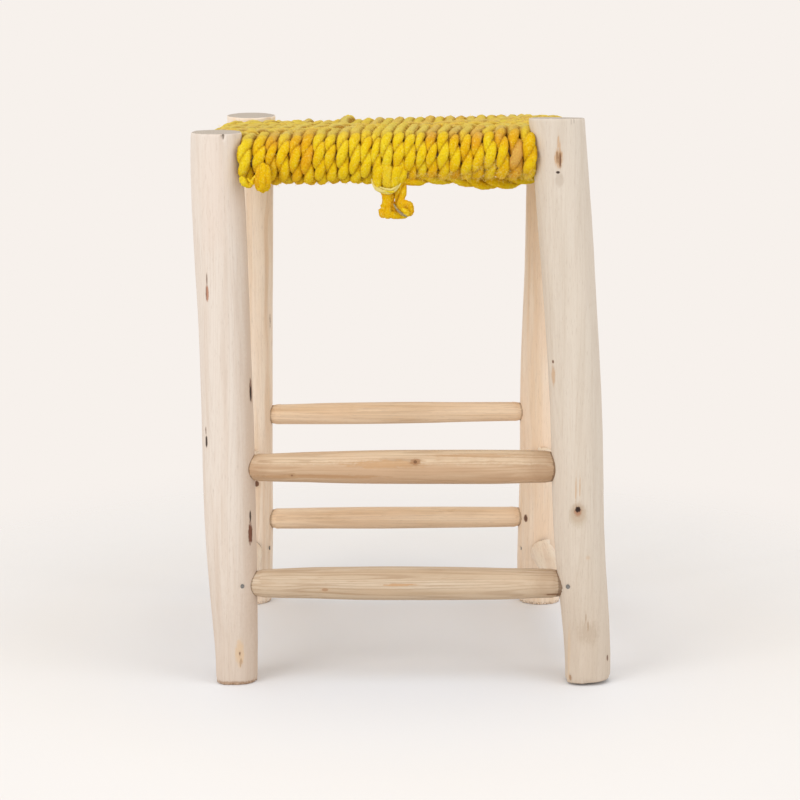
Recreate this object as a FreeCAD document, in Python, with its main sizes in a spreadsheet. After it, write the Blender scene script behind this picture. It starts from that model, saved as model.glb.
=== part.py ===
import FreeCAD, Part

import math
import os

import Sketcher
from FreeCAD import Placement, Rotation, Vector

# A low stool: four peeled poles as legs, eight rungs socketed into them, four seat rails
# and a seat wound from one rope in four triangles. Millimetres, +Z up, the floor at zero,
# the front of the stool towards -Y, the origin on the floor under the middle.

SIZES = (
    ("seat_span", 272.0, "between the centre lines of opposite seat rails"),
    ("seat_middle_x", -7.3, "sideways place of the middle of the seat"),
    ("seat_yaw", -2.1, "degrees that the seat is turned, seen from above"),
    ("seat_roll", 1.5, "degrees that the right side of the seat stands high"),
    ("seat_pitch", 0.3, "degrees that the front of the seat stands high"),
    ("rail_height", 428.4, "seat rail centre line, in the middle of the seat"),
    ("rail_radius", 11.0, "seat rail pole"),
    ("rail_tenon_radius", 8.0, "turned-down end of a seat rail"),
    ("rail_tenon_stop", 9.5, "from the leg's centre line to a seat rail's tip"),
    ("rail_chamfer", 1.5, "bevel at a seat rail's shoulder"),
    ("front_left_leg_radius", 20.5, ""),
    ("front_left_leg_rise", 22.9, "leg above the rail centre line"),
    ("front_left_splay_x", 11.8, "foot, measured from the seat's corner"),
    ("front_left_splay_y", -4.1, ""),
    ("front_left_top_tilt", 2.5, "degrees that the sawn top leans forward"),
    ("front_left_nail_inset", 8.5, "nails, from the leg's centre line towards the rung's middle"),
    ("front_right_leg_radius", 21.0, ""),
    ("front_right_leg_rise", 27.3, ""),
    ("front_right_splay_x", 28.1, ""),
    ("front_right_splay_y", 5.9, ""),
    ("front_right_top_tilt", -1.0, ""),
    ("front_right_nail_inset", 13.0, ""),
    ("back_right_leg_radius", 20.5, ""),
    ("back_right_leg_rise", 16.2, ""),
    ("back_right_splay_x", -6.0, ""),
    ("back_right_splay_y", 4.1, ""),
    ("back_right_top_tilt", 1.0, ""),
    ("back_right_nail_inset", 8.5, ""),
    ("back_left_leg_radius", 20.0, ""),
    ("back_left_leg_rise", 25.9, ""),
    ("back_left_splay_x", -3.3, ""),
    ("back_left_splay_y", -5.9, ""),
    ("back_left_top_tilt", 4.0, ""),
    ("back_left_nail_inset", 8.5, ""),
    ("rung_tenon_radius", 8.2, "end of a rung, inside the leg"),
    ("rung_tenon_reach", 6.0, "from the leg's centre line to a rung's tip"),
    ("rung_shoulder_round", 4.5, "length over which a rung's end is rounded off"),
    ("shoulder_gap", 1.2, "between a leg's side and a shoulder"),
    ("socket_fit", 0.08, "radial clearance of a tenon"),
    ("socket_end_gap", 1.0, "between a tenon's tip and the bottom of its socket"),
    ("front_upper_rung_radius", 14.0, "at its middle"),
    ("front_upper_rung_left", 178.0, "height at the left leg"),
    ("front_upper_rung_right", 178.5, "height at the right leg"),
    ("front_lower_rung_radius", 13.9, ""),
    ("front_lower_rung_left", 81.8, ""),
    ("front_lower_rung_right", 81.2, ""),
    ("back_upper_rung_radius", 10.0, ""),
    ("back_upper_rung_left", 175.3, ""),
    ("back_upper_rung_right", 179.0, ""),
    ("back_lower_rung_radius", 10.1, ""),
    ("back_lower_rung_left", 77.2, ""),
    ("back_lower_rung_right", 79.6, ""),
    ("left_upper_rung_radius", 11.2, ""),
    ("left_upper_rung_front", 152.0, "height at the front leg"),
    ("left_upper_rung_back", 136.0, "height at the back leg"),
    ("left_lower_rung_radius", 11.6, ""),
    ("left_lower_rung_front", 58.0, ""),
    ("left_lower_rung_back", 50.0, ""),
    ("right_upper_rung_radius", 10.8, ""),
    ("right_upper_rung_front", 159.0, ""),
    ("right_upper_rung_back", 138.0, ""),
    ("right_lower_rung_radius", 11.8, ""),
    ("right_lower_rung_front", 60.0, ""),
    ("right_lower_rung_back", 50.0, ""),
    ("nail_radius", 0.9, "shank"),
    ("nail_past_tenon", 1.0, "from the far side of a rung's tenon to the nail's point"),
    ("nail_tip_length", 3.0, ""),
    ("nail_head_radius", 1.8, ""),
    ("nail_head_thickness", 0.9, ""),
    ("nail_head_sink", 1.1, "from the leg's surface to the head's underside"),
    ("nail_fit", 0.05, "radial clearance round a nail"),
    ("nail_rise", 1.2, "above the rung's centre line"),
    ("rope_diameter", 8.45, ""),
    ("rope_gap", 0.5, "between neighbouring turns of rope"),
    ("rope_rail_gap", 0.3, "between the rope and its rail"),
    ("rope_leg_gap", 1.5, "between the outermost turn and the leg"),
    ("rope_bend_radius", 8.5, "centre line, where the rope turns down into the seat"),
    ("rope_start_run", 10.0, "straight run between a winding's end face and its rail"),
    ("start_knot_radius", 7.0, "knot under the front left corner"),
    ("start_knot_width", 16.0, ""),
    ("start_knot_swing", 36.0, "degrees outwards from straight below its rail"),
    ("tail_knot_radius", 4.9, "half hitch in front, at its middle"),
    ("tail_knot_length", 27.0, ""),
    ("tail_end_radius", 4.7, "the two rope ends under the half hitch"),
    ("tail_end_drop", 23.2, "from the half hitch down to the short end's cut"),
    ("tail_end_spacing", 8.2, "between the two ends"),
    ("tail_hook_drop", 16.0, "from the half hitch down to the hooked end's bend"),
    ("tail_hook_length", 11.0, "hooked end, past its bend"),
    ("tail_hook_bend", 5.2, "centre line radius of that bend"),
    ("tail_knot_overhang", 9.6, "half hitch in front of the rail's centre line"),
    ("tail_knot_drop", 8.0, "half hitch below the centre line of the rope's lower run"),
    ("overrun", 6.0, "how far a cutting tool runs past a surface"),
    ("gauge_step", 1.2, "distance of the points on which the rope's gaps are measured"),
)

# Heights up a leg as shares of its length. At each the leg's lean is a share of its whole
# lean and its radius a share of its own size, because peeled poles are crooked and uneven.
STATION_SHARES = (0.0, 0.08, 0.22, 0.42, 0.64, 0.87, 1.0)
LEGS = {
    "front_left": {
        "side": (-1, -1),
        "lean_shares": (0.0, 0.08, 0.30, 0.455, 0.645, 0.92, 1.0),
        "radius_shares": (0.80, 0.88, 1.0, 1.03, 1.015, 1.05, 0.99),
    },
    "front_right": {
        "side": (1, -1),
        "lean_shares": (0.0, 0.04, 0.23, 0.37, 0.54, 0.81, 1.0),
        "radius_shares": (0.88, 0.91, 0.97, 0.99, 1.015, 1.035, 1.055),
    },
    "back_right": {
        "side": (1, 1),
        "lean_shares": (0.0, -0.25, -0.05, 0.10, 0.52, 0.86, 1.0),
        "radius_shares": (0.93, 0.96, 0.98, 1.0, 1.02, 1.03, 1.05),
    },
    "back_left": {
        "side": (-1, 1),
        "lean_shares": (0.0, 0.18, 0.22, 0.34, 0.48, 0.80, 1.0),
        "radius_shares": (0.95, 0.97, 1.0, 1.0, 1.0, 1.04, 1.10),
    },
}

# Each side of the stool, seen from outside: the leg at the start of its pieces, the leg at
# their end, and whether it is the start or the end that its size names call left or front.
SIDES = {
    "front": ("front_left", "front_right", ("left", "right")),
    "right": ("front_right", "back_right", ("front", "back")),
    "back": ("back_right", "back_left", ("right", "left")),
    "left": ("back_left", "front_left", ("back", "front")),
}

# A rung's radius at its two ends, as shares of its radius at the middle.
RUNG_END_SHARES = {
    "front_upper": (0.80, 0.94),
    "front_lower": (0.83, 0.86),
    "back_upper": (0.88, 0.93),
    "back_lower": (0.93, 0.93),
    "right_upper": (0.90, 0.88),
    "right_lower": (0.92, 0.90),
    "left_upper": (0.90, 0.88),
    "left_lower": (0.92, 0.90),
}
SHOULDER_VIA_SHARES = (0.25, 0.68)

# The slung stretch of rope below the seat, from the right winding's end face to the half
# hitch, in the seat's own frame: from its middle, with the rail centre lines at zero.
TAIL_ROUTE = (
    (110.2, -107.9, -17.4),
    (103.4, -108.6, -21.6),
    (95.6, -110.0, -24.8),
    (84.5, -112.8, -25.9),
    (66.0, -119.0, -26.0),
    (48.0, -128.0, -25.7),
    (33.0, -137.0, -25.1),
    (20.5, -143.2, -24.3),
)

doc = FreeCAD.newDocument("stool")
sheet = doc.addObject("Spreadsheet::Sheet", "Sizes")


def write_sheet():
    for row, (name, size, remark) in enumerate(SIZES, start=1):
        sheet.set("A%d" % row, name)
        sheet.set("B%d" % row, str(size))
        sheet.setAlias("B%d" % row, name)
        sheet.set("C%d" % row, remark)
    doc.recompute()


def size(name):
    return float(sheet.get(name))


def cell(name):
    return "Sizes.%s" % name


def write_derived(name, number):
    """Put a worked-out size below the driving ones, so that a sketch can be bound to it."""
    derived.append(name)
    row = len(SIZES) + 1 + len(derived)
    sheet.set("A%d" % row, name)
    sheet.set("B%d" % row, repr(number))
    sheet.setAlias("B%d" % row, name)
    sheet.recompute()
    return cell(name)


derived = []
nodes = {}
write_sheet()


def keep(node, shape_object):
    shape_object.Label = node
    nodes[node] = shape_object
    return shape_object


# Where things are

def between(shares, table, at):
    """The table's value at a height share, straight between the table's stations."""
    for low in range(len(shares) - 1):
        if at <= shares[low + 1]:
            break
    part = (at - shares[low]) / (shares[low + 1] - shares[low])
    return table[low] + part * (table[low + 1] - table[low])


def seat_placement():
    turn = Rotation(Vector(0, 0, 1), size("seat_yaw"))
    roll = Rotation(Vector(0, 1, 0), -size("seat_roll"))
    pitch = Rotation(Vector(1, 0, 0), -size("seat_pitch"))
    middle = Vector(size("seat_middle_x"), 0, size("rail_height"))
    return Placement(middle, turn * roll * pitch)


def seat_corner(leg):
    across, deep = LEGS[leg]["side"]
    half = size("seat_span") / 2
    return seat_placement().multVec(Vector(across * half, deep * half, 0))


def leg_height(leg):
    return seat_corner(leg).z + size(leg + "_leg_rise")


def leg_foot(leg):
    corner = seat_corner(leg)
    return Vector(corner.x + size(leg + "_splay_x"), corner.y + size(leg + "_splay_y"), 0)


def leg_lean(leg):
    """How far the top stands from above the foot, so that the rails meet at the corner."""
    corner = seat_corner(leg)
    share = between(STATION_SHARES, LEGS[leg]["lean_shares"], corner.z / leg_height(leg))
    foot = leg_foot(leg)
    return Vector((corner.x - foot.x) / share, (corner.y - foot.y) / share, 0)


def leg_centre(leg, height):
    share = between(STATION_SHARES, LEGS[leg]["lean_shares"], height / leg_height(leg))
    return leg_foot(leg) + leg_lean(leg) * share + Vector(0, 0, height)


def leg_radius(leg, height):
    share = between(STATION_SHARES, LEGS[leg]["radius_shares"], height / leg_height(leg))
    return size(leg + "_leg_radius") * share


def origin_plane(body, role):
    for feature in body.Origin.OriginFeatures:
        if feature.Role == role:
            return feature


def new_body(name):
    return doc.addObject("PartDesign::Body", name)


def attach(sketch, body, role):
    sketch.AttachmentSupport = [(origin_plane(body, role), "")]
    sketch.MapMode = "FlatFace"


# Legs

def leg_section(body, leg, station):
    """One round section of a leg, level, but tilted where the leg's top is sawn off."""
    sketch = body.newObject("Sketcher::SketchObject", "%s_section_%d" % (leg, station))
    attach(sketch, body, "XY_Plane")
    lean = leg_lean(leg) * LEGS[leg]["lean_shares"][station]
    tilt = Rotation()
    if station == len(STATION_SHARES) - 1:
        tilt = Rotation(Vector(1, 0, 0), size(leg + "_top_tilt"))
    sketch.AttachmentOffset = Placement(Vector(lean.x, lean.y, 0), tilt)
    height = "%s_leg_length * %g" % (cell(leg), STATION_SHARES[station])
    sketch.setExpression("AttachmentOffset.Base.z", height)
    radius = size(leg + "_leg_radius") * LEGS[leg]["radius_shares"][station]
    sketch.addGeometry(Part.Circle(Vector(0, 0, 0), Vector(0, 0, 1), radius), False)
    sketch.addConstraint(Sketcher.Constraint("Coincident", 0, 3, -1, 1))
    which = sketch.addConstraint(Sketcher.Constraint("Radius", 0, radius))
    share = LEGS[leg]["radius_shares"][station]
    sketch.setExpression("Constraints[%d]" % which, "%s_leg_radius * %g" % (cell(leg), share))
    return sketch


def make_leg_blank(leg):
    write_derived(leg + "_leg_length", leg_height(leg))
    body = new_body("leg_%s_blank" % leg)
    sections = [leg_section(body, leg, station) for station in range(len(STATION_SHARES))]
    loft = body.newObject("PartDesign::AdditiveLoft", "leg_%s_loft" % leg)
    loft.Profile = sections[0]
    loft.Sections = sections[1:]
    body.Placement = Placement(leg_foot(leg), Rotation())
    return body


def make_leg(leg, tools):
    """A leg is its peeled pole, less the sockets and nail holes that belong to it."""
    fused = doc.addObject("Part::MultiFuse", "leg_%s_holes" % leg)
    fused.Shapes = tools
    cut = doc.addObject("Part::Cut", "leg_" + leg)
    cut.Base = make_leg_blank(leg)
    cut.Tool = fused
    keep("leg_" + leg, cut)


# Bars: rungs and seat rails

def axis_cylinder(name, start, direction, radius, length):
    rod = doc.addObject("Part::Cylinder", name)
    rod.setExpression("Radius", radius)
    rod.setExpression("Height", length)
    rod.Placement = Placement(start, Rotation(Vector(0, 0, 1), direction))
    return rod


def bar_profile(body, name, points):
    """Half of a bar's outline. A point is (along, out, via): None lies on an axis, and via
    is the point that the edge to it bends through."""
    sketch = body.newObject("Sketcher::SketchObject", name + "_outline")
    attach(sketch, body, "XY_Plane")
    places = [Vector(size_of(along), size_of(out), 0) for along, out, via in points]
    for index, (along, out, via) in enumerate(points):
        start = places[index - 1]
        if via is None:
            sketch.addGeometry(Part.LineSegment(start, places[index]), False)
        else:
            middle = Vector(size_of(via[0]), size_of(via[1]), 0)
            sketch.addGeometry(Part.Arc(start, middle, places[index]), False)
    for index, (along, out, via) in enumerate(points):
        edge_end = end_of_edge(sketch, index, places[index])
        following = (index + 1) % len(points)
        edge_start = 3 - end_of_edge(sketch, following, places[following])
        join = Sketcher.Constraint("Coincident", index, edge_end, following, edge_start)
        sketch.addConstraint(join)
        pin_point(sketch, "X", index, edge_end, along)
        pin_point(sketch, "Y", index, edge_end, out)
        if via is not None:
            pin_arc(sketch, index, via)
    return sketch


def size_of(name):
    return 0.0 if name is None else size(name.replace("Sizes.", ""))


def end_of_edge(sketch, index, place):
    """1 or 2: which end of the sketch's edge lies at the place."""
    far = sketch.getPoint(index, 2).distanceToPoint(place)
    near = sketch.getPoint(index, 1).distanceToPoint(place)
    return 2 if far < near else 1


def pin_point(sketch, way, edge, end, name):
    if name is None:
        axis = -2 if way == "X" else -1
        sketch.addConstraint(Sketcher.Constraint("PointOnObject", edge, end, axis))
        return
    rule = Sketcher.Constraint("Distance" + way, -1, 1, edge, end, size_of(name))
    sketch.setExpression("Constraints[%d]" % sketch.addConstraint(rule), name)


def pin_arc(sketch, edge, via):
    spot = sketch.addGeometry(Part.Point(Vector(size_of(via[0]), size_of(via[1]), 0)), True)
    sketch.addConstraint(Sketcher.Constraint("PointOnObject", spot, 1, edge))
    pin_point(sketch, "X", spot, 1, via[0])
    pin_point(sketch, "Y", spot, 1, via[1])


def revolve(body, sketch, name):
    turned = body.newObject("PartDesign::Revolution", name + "_turned")
    turned.Profile = sketch
    turned.ReferenceAxis = (sketch, ["H_Axis"])
    turned.Angle = 360.0
    return turned


def bar_ends(side, heights):
    """The leg centre points that a side's bar runs between, and how thick the legs are."""
    legs = SIDES[side][:2]
    points = [leg_centre(leg, height) for leg, height in zip(legs, heights)]
    radii = [leg_radius(leg, height) for leg, height in zip(legs, heights)]
    return points, radii


def socket_tools(node, legs, points, reach, tenon_radius):
    """One drill for each end of a bar, from the bottom of its socket to outside the leg."""
    along = (points[1] - points[0]).normalize()
    tools = {}
    for leg, point, inward in zip(legs, points, (along, along * -1)):
        deep = reach + size("socket_end_gap")
        start = point - inward * deep
        name = "%s_socket_%s" % (node, leg)
        length = deep + size(leg + "_leg_radius") + size("overrun")
        radius = "%s + Sizes.socket_fit" % tenon_radius
        tools[leg] = axis_cylinder(name, start, inward, radius, write_derived(name, length))
    return tools


def rung_points(node, kind, length, shoulders):
    """The outline of a rung: tenon, rounded shoulder, belly, shoulder, tenon."""
    tenon = cell("rung_tenon_radius")
    middle = size(kind + "_rung_radius")
    rounded = size("rung_shoulder_round")
    belly = []
    for end, share in enumerate(RUNG_END_SHARES[kind]):
        inward = 1 if end == 0 else -1
        full = shoulders[end] + inward * rounded
        start = write_derived("%s_shoulder_%d" % (node, end), shoulders[end])
        along = write_derived("%s_full_%d" % (node, end), full)
        out = write_derived("%s_end_radius_%d" % (node, end), middle * share)
        via_along = shoulders[end] + inward * rounded * SHOULDER_VIA_SHARES[0]
        rise = (middle * share - size("rung_tenon_radius")) * SHOULDER_VIA_SHARES[1]
        via_name = "%s_round_%d" % (node, end)
        via = (
            write_derived(via_name + "_along", via_along),
            write_derived(via_name + "_out", size("rung_tenon_radius") + rise),
        )
        belly.append((start, along, out, via))
    tip = write_derived(node + "_length", length)
    half = write_derived(node + "_half_length", length / 2)
    (start, along, out, via), (end_start, end_along, end_out, end_via) = belly
    return (
        (None, tenon, None),
        (start, tenon, None),
        (along, out, via),
        (end_along, end_out, (half, cell(kind + "_rung_radius"))),
        (end_start, tenon, end_via),
        (tip, tenon, None),
        (tip, None, None),
        (None, None, None),
    )


def rail_points(node, length, shoulders):
    """The outline of a seat rail: a plain pole with a bevelled shoulder and two tenons."""
    tenon = cell("rail_tenon_radius")
    full = cell("rail_radius")
    bevel = size("rail_chamfer")
    starts = [write_derived("%s_shoulder_%d" % (node, end), shoulders[end]) for end in (0, 1)]
    fulls = (
        write_derived(node + "_full_0", shoulders[0] + bevel),
        write_derived(node + "_full_1", shoulders[1] - bevel),
    )
    tip = write_derived(node + "_length", length)
    return (
        (None, tenon, None),
        (starts[0], tenon, None),
        (fulls[0], full, None),
        (fulls[1], full, None),
        (starts[1], tenon, None),
        (tip, tenon, None),
        (tip, None, None),
        (None, None, None),
    )


def bar_body(node, points, radii, reach, outline):
    """Turn a bar from its outline and lay it between the two legs."""
    along = points[1] - points[0]
    length = along.Length + 2 * reach
    shoulders = (
        reach + radii[0] + size("shoulder_gap"),
        length - reach - radii[1] - size("shoulder_gap"),
    )
    body = new_body(node + "_bar")
    revolve(body, bar_profile(body, node, outline(length, shoulders)), node)
    direction = along.normalize()
    start = points[0] - direction * reach
    body.Placement = Placement(start, Rotation(Vector(1, 0, 0), direction))
    return body


def make_rung(side, level, drills):
    """A rung between two legs. The lower ones are nailed through both legs."""
    kind = "%s_%s" % (side, level)
    node = "rung_" + kind
    legs = SIDES[side][:2]
    heights = [size("%s_rung_%s" % (kind, end)) for end in SIDES[side][2]]
    points, radii = bar_ends(side, heights)
    reach = size("rung_tenon_reach")

    def outline(length, shoulders):
        return rung_points(node, kind, length, shoulders)

    bar = bar_body(node, points, radii, reach, outline)
    for leg, tool in socket_tools(node, legs, points, reach, cell("rung_tenon_radius")).items():
        drills[leg].append(tool)
    if level == "upper":
        keep(node, bar)
        return
    holes = make_nails(side, legs, points, drills)
    cut = doc.addObject("Part::Cut", node)
    cut.Base = bar
    cut.Tool = holes
    keep(node, cut)


def make_rail(side, drills):
    node = "seat_rail_" + side
    legs = SIDES[side][:2]
    points = [seat_corner(leg) for leg in legs]
    radii = [leg_radius(leg, point.z) for leg, point in zip(legs, points)]
    reach = -size("rail_tenon_stop")

    def outline(length, shoulders):
        return rail_points(node, length, shoulders)

    keep(node, bar_body(node, points, radii, reach, outline))
    for leg, tool in socket_tools(node, legs, points, reach, cell("rail_tenon_radius")).items():
        drills[leg].append(tool)


# Nails

def nail_direction(side):
    """Nails are driven from in front into the front legs, from behind into the back legs,
    and outwards from inside the stool where they hold a side rung."""
    return {
        "front": Vector(0, 1, 0),
        "back": Vector(0, -1, 0),
        "left": Vector(-1, 0, 0),
        "right": Vector(1, 0, 0),
    }[side]


def make_nail(name, head_underside, direction, length):
    turned = Rotation(Vector(0, 0, 1), direction)
    straight = length - size("nail_tip_length")
    shank = axis_cylinder(
        name + "_shank", head_underside, direction,
        cell("nail_radius"), write_derived(name + "_shank_length", straight),
    )
    head = axis_cylinder(
        name + "_head", head_underside - direction * size("nail_head_thickness"), direction,
        cell("nail_head_radius"), cell("nail_head_thickness"),
    )
    tip = doc.addObject("Part::Cone", name + "_tip")
    tip.setExpression("Radius1", cell("nail_radius"))
    tip.Radius2 = 0
    tip.setExpression("Height", cell("nail_tip_length"))
    tip.Placement = Placement(head_underside + direction * straight, turned)
    nail = doc.addObject("Part::MultiFuse", name)
    nail.Shapes = [shank, head, tip]
    return nail


def make_nails(side, legs, points, drills):
    """Two nails through a lower rung's tenons, their holes in the legs, and the tool that
    bores the rung."""
    direction = nail_direction(side)
    along = (points[1] - points[0]).normalize()
    nails = []
    bores = []
    for leg, point, inward in zip(legs, points, (along, along * -1)):
        name = "nail_%s_%s" % (side, leg)
        inset = size(leg + "_nail_inset")
        on_axis = point + inward * inset + Vector(0, 0, size("nail_rise"))
        radius = leg_radius(leg, on_axis.z)
        surface = on_axis - direction * math.sqrt(radius ** 2 - inset ** 2)
        underside = surface + direction * size("nail_head_sink")
        half_tenon = math.sqrt(size("rung_tenon_radius") ** 2 - size("nail_rise") ** 2)
        length = (on_axis - underside).Length + half_tenon + size("nail_past_tenon")
        nails.append(make_nail(name, underside, direction, length))
        mouth = underside - direction * (size("nail_head_sink") + size("overrun"))
        drills[leg].append(axis_cylinder(
            name + "_mouth", mouth, direction,
            "Sizes.nail_head_radius + Sizes.nail_fit", "Sizes.nail_head_sink + Sizes.overrun",
        ))
        bore = axis_cylinder(
            name + "_bore", underside, direction, "Sizes.nail_radius + Sizes.nail_fit",
            write_derived(name + "_bore_length", length + size("nail_fit")),
        )
        drills[leg].append(bore)
        bores.append(bore)
    pair = doc.addObject("Part::Compound", "nails_%s_rung" % side)
    pair.Links = nails
    keep("nails_%s_rung" % side, pair)
    holes = doc.addObject("Part::Compound", "nails_%s_rung_bores" % side)
    holes.Links = bores
    return holes


# Rope

def rounded_path(points, radii):
    """Straight runs joined by tangent arcs: one wire through the points, each inner corner
    rounded to its radius."""
    edges = []
    here = points[0]
    for index in range(1, len(points) - 1):
        corner = points[index]
        back = (points[index - 1] - corner).normalize()
        ahead = (points[index + 1] - corner).normalize()
        half_turn = (math.pi - back.getAngle(ahead)) / 2
        reach = radii[index - 1] * math.tan(half_turn)
        enter = corner + back * reach
        leave = corner + ahead * reach
        bisector = (back + ahead).normalize()
        to_middle = radii[index - 1] / math.cos(half_turn) - radii[index - 1]
        if enter.distanceToPoint(here) > Part.Precision.confusion():
            edges.append(Part.LineSegment(here, enter).toShape())
        edges.append(Part.Arc(enter, corner + bisector * to_middle, leave).toShape())
        here = leave
    if here.distanceToPoint(points[-1]) > Part.Precision.confusion():
        edges.append(Part.LineSegment(here, points[-1]).toShape())
    return Part.Wire(edges)


def tube(wire, radius):
    start = wire.Edges[0]
    heading = start.tangentAt(start.FirstParameter)
    ring = Part.makeCircle(radius, start.valueAt(start.FirstParameter), heading)
    shell = Part.BRepOffsetAPI.MakePipeShell(wire)
    shell.add(Part.Wire(ring))
    shell.build()
    shell.makeSolid()
    solid = shell.shape()
    expected = math.pi * radius ** 2 * wire.Length
    print("  tube volume over section times length: %.4f" % (solid.Volume / expected))
    return solid


def wrap_radius():
    """Centre line of the rope where it goes round a rail."""
    return size("rail_radius") + size("rope_rail_gap") + size("rope_diameter") / 2


def rope_room():
    """Diameter of the rope with its least gap: how far apart two turns' centres must be."""
    return size("rope_diameter") + size("rope_gap")


def rope_turns():
    """How many turns fit between two legs, an even number, and their spacing."""
    widest = max(leg_radius(leg, seat_corner(leg).z) for leg in LEGS)
    free = size("seat_span") - 2 * widest - 2 * size("rope_leg_gap")
    drop = 2 * wrap_radius()
    closest = rope_room() * drop / math.sqrt(drop ** 2 - rope_room() ** 2)
    turns = 2 * int(free / (2 * closest))
    return turns, free / turns


CENTRE_SHARE = 0.6
SIDE_CENTRE_SHARE = 1.35


def turn_depth(side, turn, turns, pitch):
    """How far in from its rail a turn goes before it passes between the layers: to the
    diagonal, less half a rope's room. The middle turns of the front and back meet, and
    those of the sides stop beside them."""
    from_corner = min(turn, turns - 1 - turn)
    half = size("seat_span") / 2
    if from_corner < turns // 2 - 1:
        outermost = half - (turns - 1) * pitch / 2
        return outermost + from_corner * pitch - rope_room() / math.sqrt(2)
    if side in ("front", "back"):
        return half - CENTRE_SHARE * rope_room()
    return half - pitch / 2 - SIDE_CENTRE_SHARE * rope_room()


def winding_path(side):
    """The rope's centre line round one rail, in that rail's own frame: x along the rail, y
    inwards, z up. Front and back turns go over their rail and return below it, those of the
    sides come from below, and each winding ends on the next one's first run."""
    turns, pitch = rope_turns()
    out = -wrap_radius()
    level = wrap_radius() if side in ("front", "back") else -wrap_radius()
    bend = size("rope_bend_radius")
    points = []
    radii = []
    for turn in range(turns):
        place = (turn - (turns - 1) / 2) * pitch
        depth = turn_depth(side, turn, turns, pitch)
        if turn == 0:
            points.append(Vector(place, size("rope_start_run"), level))
        else:
            points.append(Vector(place, depth, level))
            radii.append(bend)
        points.append(Vector(place, out, level))
        points.append(Vector(place, out, -level))
        radii.extend((wrap_radius(), wrap_radius()))
        if turn < turns - 1:
            points.append(Vector(place, depth, -level))
            radii.append(bend)
    last = points[-1].x
    inward = size("seat_span") / 2 - last
    if side == "front":
        points.append(Vector(last, turn_depth(side, 0, turns, pitch), -level))
    else:
        points.append(Vector(last, inward, -level))
        radii.append(bend)
        points.append(Vector(last + inward - size("rope_start_run"), inward, -level))
    return rounded_path(points, radii)


def side_placement(side):
    """From a rail's own frame to the world: the seat's place, turned by quarter turns."""
    quarter = list(SIDES).index(side)
    turned = Rotation(Vector(0, 0, 1), 90 * quarter)
    offset = turned.multVec(Vector(0, -size("seat_span") / 2, 0))
    return seat_placement() * Placement(offset, turned)


def make_winding(side):
    node = "seat_cord_" + side
    print(node)
    wire = winding_path(side)
    winding = doc.addObject("Part::Feature", node)
    winding.Shape = tube(wire, size("rope_diameter") / 2)
    winding.Placement = side_placement(side)
    keep(node, winding)
    placed = wire.copy()
    placed.Placement = side_placement(side)
    return placed


def gauge_points(wire):
    """Points along a wire, each with its distance from the wire's start."""
    points = []
    walked = 0.0
    for edge in wire.OrderedEdges:
        count = max(2, int(edge.Length / size("gauge_step")) + 1)
        for number, point in enumerate(edge.discretize(Number=count)):
            points.append((point, walked + edge.Length * number / (count - 1)))
        walked += edge.Length
    return points


def least_gap(first, second, same):
    """Least distance of two sets of rope points, less the rope's diameter. On one rope,
    points less than three diameters apart along it are neighbours, not turns."""
    box = 2 * rope_room()
    grid = {}
    for point, walked in first:
        key = (int(point.x // box), int(point.y // box), int(point.z // box))
        grid.setdefault(key, []).append((point, walked))
    least = box
    near = [(a, b, c) for a in (-1, 0, 1) for b in (-1, 0, 1) for c in (-1, 0, 1)]
    for point, walked in second:
        key = (int(point.x // box), int(point.y // box), int(point.z // box))
        for step in near:
            for other, passed in grid.get(tuple(k + s for k, s in zip(key, step)), ()):
                if same and abs(passed - walked) < 3 * size("rope_diameter"):
                    continue
                least = min(least, point.distanceToPoint(other))
    return least - size("rope_diameter")


def print_gaps(wires):
    points = {side: gauge_points(wire) for side, wire in wires.items()}
    names = list(points)
    for index, side in enumerate(names):
        own = least_gap(points[side], points[side], True)
        print("least gap of seat_cord_%s to itself: %.3f" % (side, own))
        for other in names[index + 1:]:
            gap = least_gap(points[side], points[other], False)
            print("least gap of seat_cord_%s to seat_cord_%s: %.3f" % (side, other, gap))


def make_start_knot():
    """The knot that the rope starts from, drawn up under the front wraps near the left."""
    turns, pitch = rope_turns()
    radius = size("start_knot_radius")
    knot = doc.addObject("Part::Ellipsoid", "start_knot")
    knot.setExpression("Radius1", cell("start_knot_radius"))
    knot.setExpression("Radius2", "Sizes.start_knot_width / 2")
    knot.setExpression("Radius3", cell("start_knot_radius"))
    touching = size("rope_diameter") / 2 + size("rope_rail_gap") + radius
    away = wrap_radius() + math.sqrt(touching ** 2 - (pitch / 2) ** 2)
    along = Vector((1 - turns / 2) * pitch, 0, 0)
    tilt = Rotation(Vector(1, 0, 0), -size("start_knot_swing"))
    below = tilt.multVec(Vector(0, 0, -away))
    knot.Placement = side_placement("front") * Placement(along + below, tilt)
    keep("start_knot", knot)


# The free stretch of rope and its half hitch

def route_radii(points):
    """The largest bend that each inner point's two runs allow."""
    radii = []
    for index in range(1, len(points) - 1):
        back = points[index - 1] - points[index]
        ahead = points[index + 1] - points[index]
        half_turn = (math.pi - back.getAngle(ahead)) / 2
        radii.append(0.45 * min(back.Length, ahead.Length) / math.tan(half_turn))
    return radii


def tail_points():
    """The slung stretch, from the face on the right winding to the face on the hitch."""
    turns, pitch = rope_turns()
    first = winding_path("right").OrderedVertexes[0].Point
    right = side_placement("right")
    exits = [right.multVec(first + Vector(0, run, 0)) for run in (0, size("rope_bend_radius"))]
    seat = seat_placement()
    inner = [seat.multVec(Vector(*place)) for place in TAIL_ROUTE]
    out = -size("seat_span") / 2 - size("tail_knot_overhang")
    hitch = Vector(pitch, out, -wrap_radius() - size("tail_knot_drop"))
    return exits + inner + [seat.multVec(hitch)]


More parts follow.
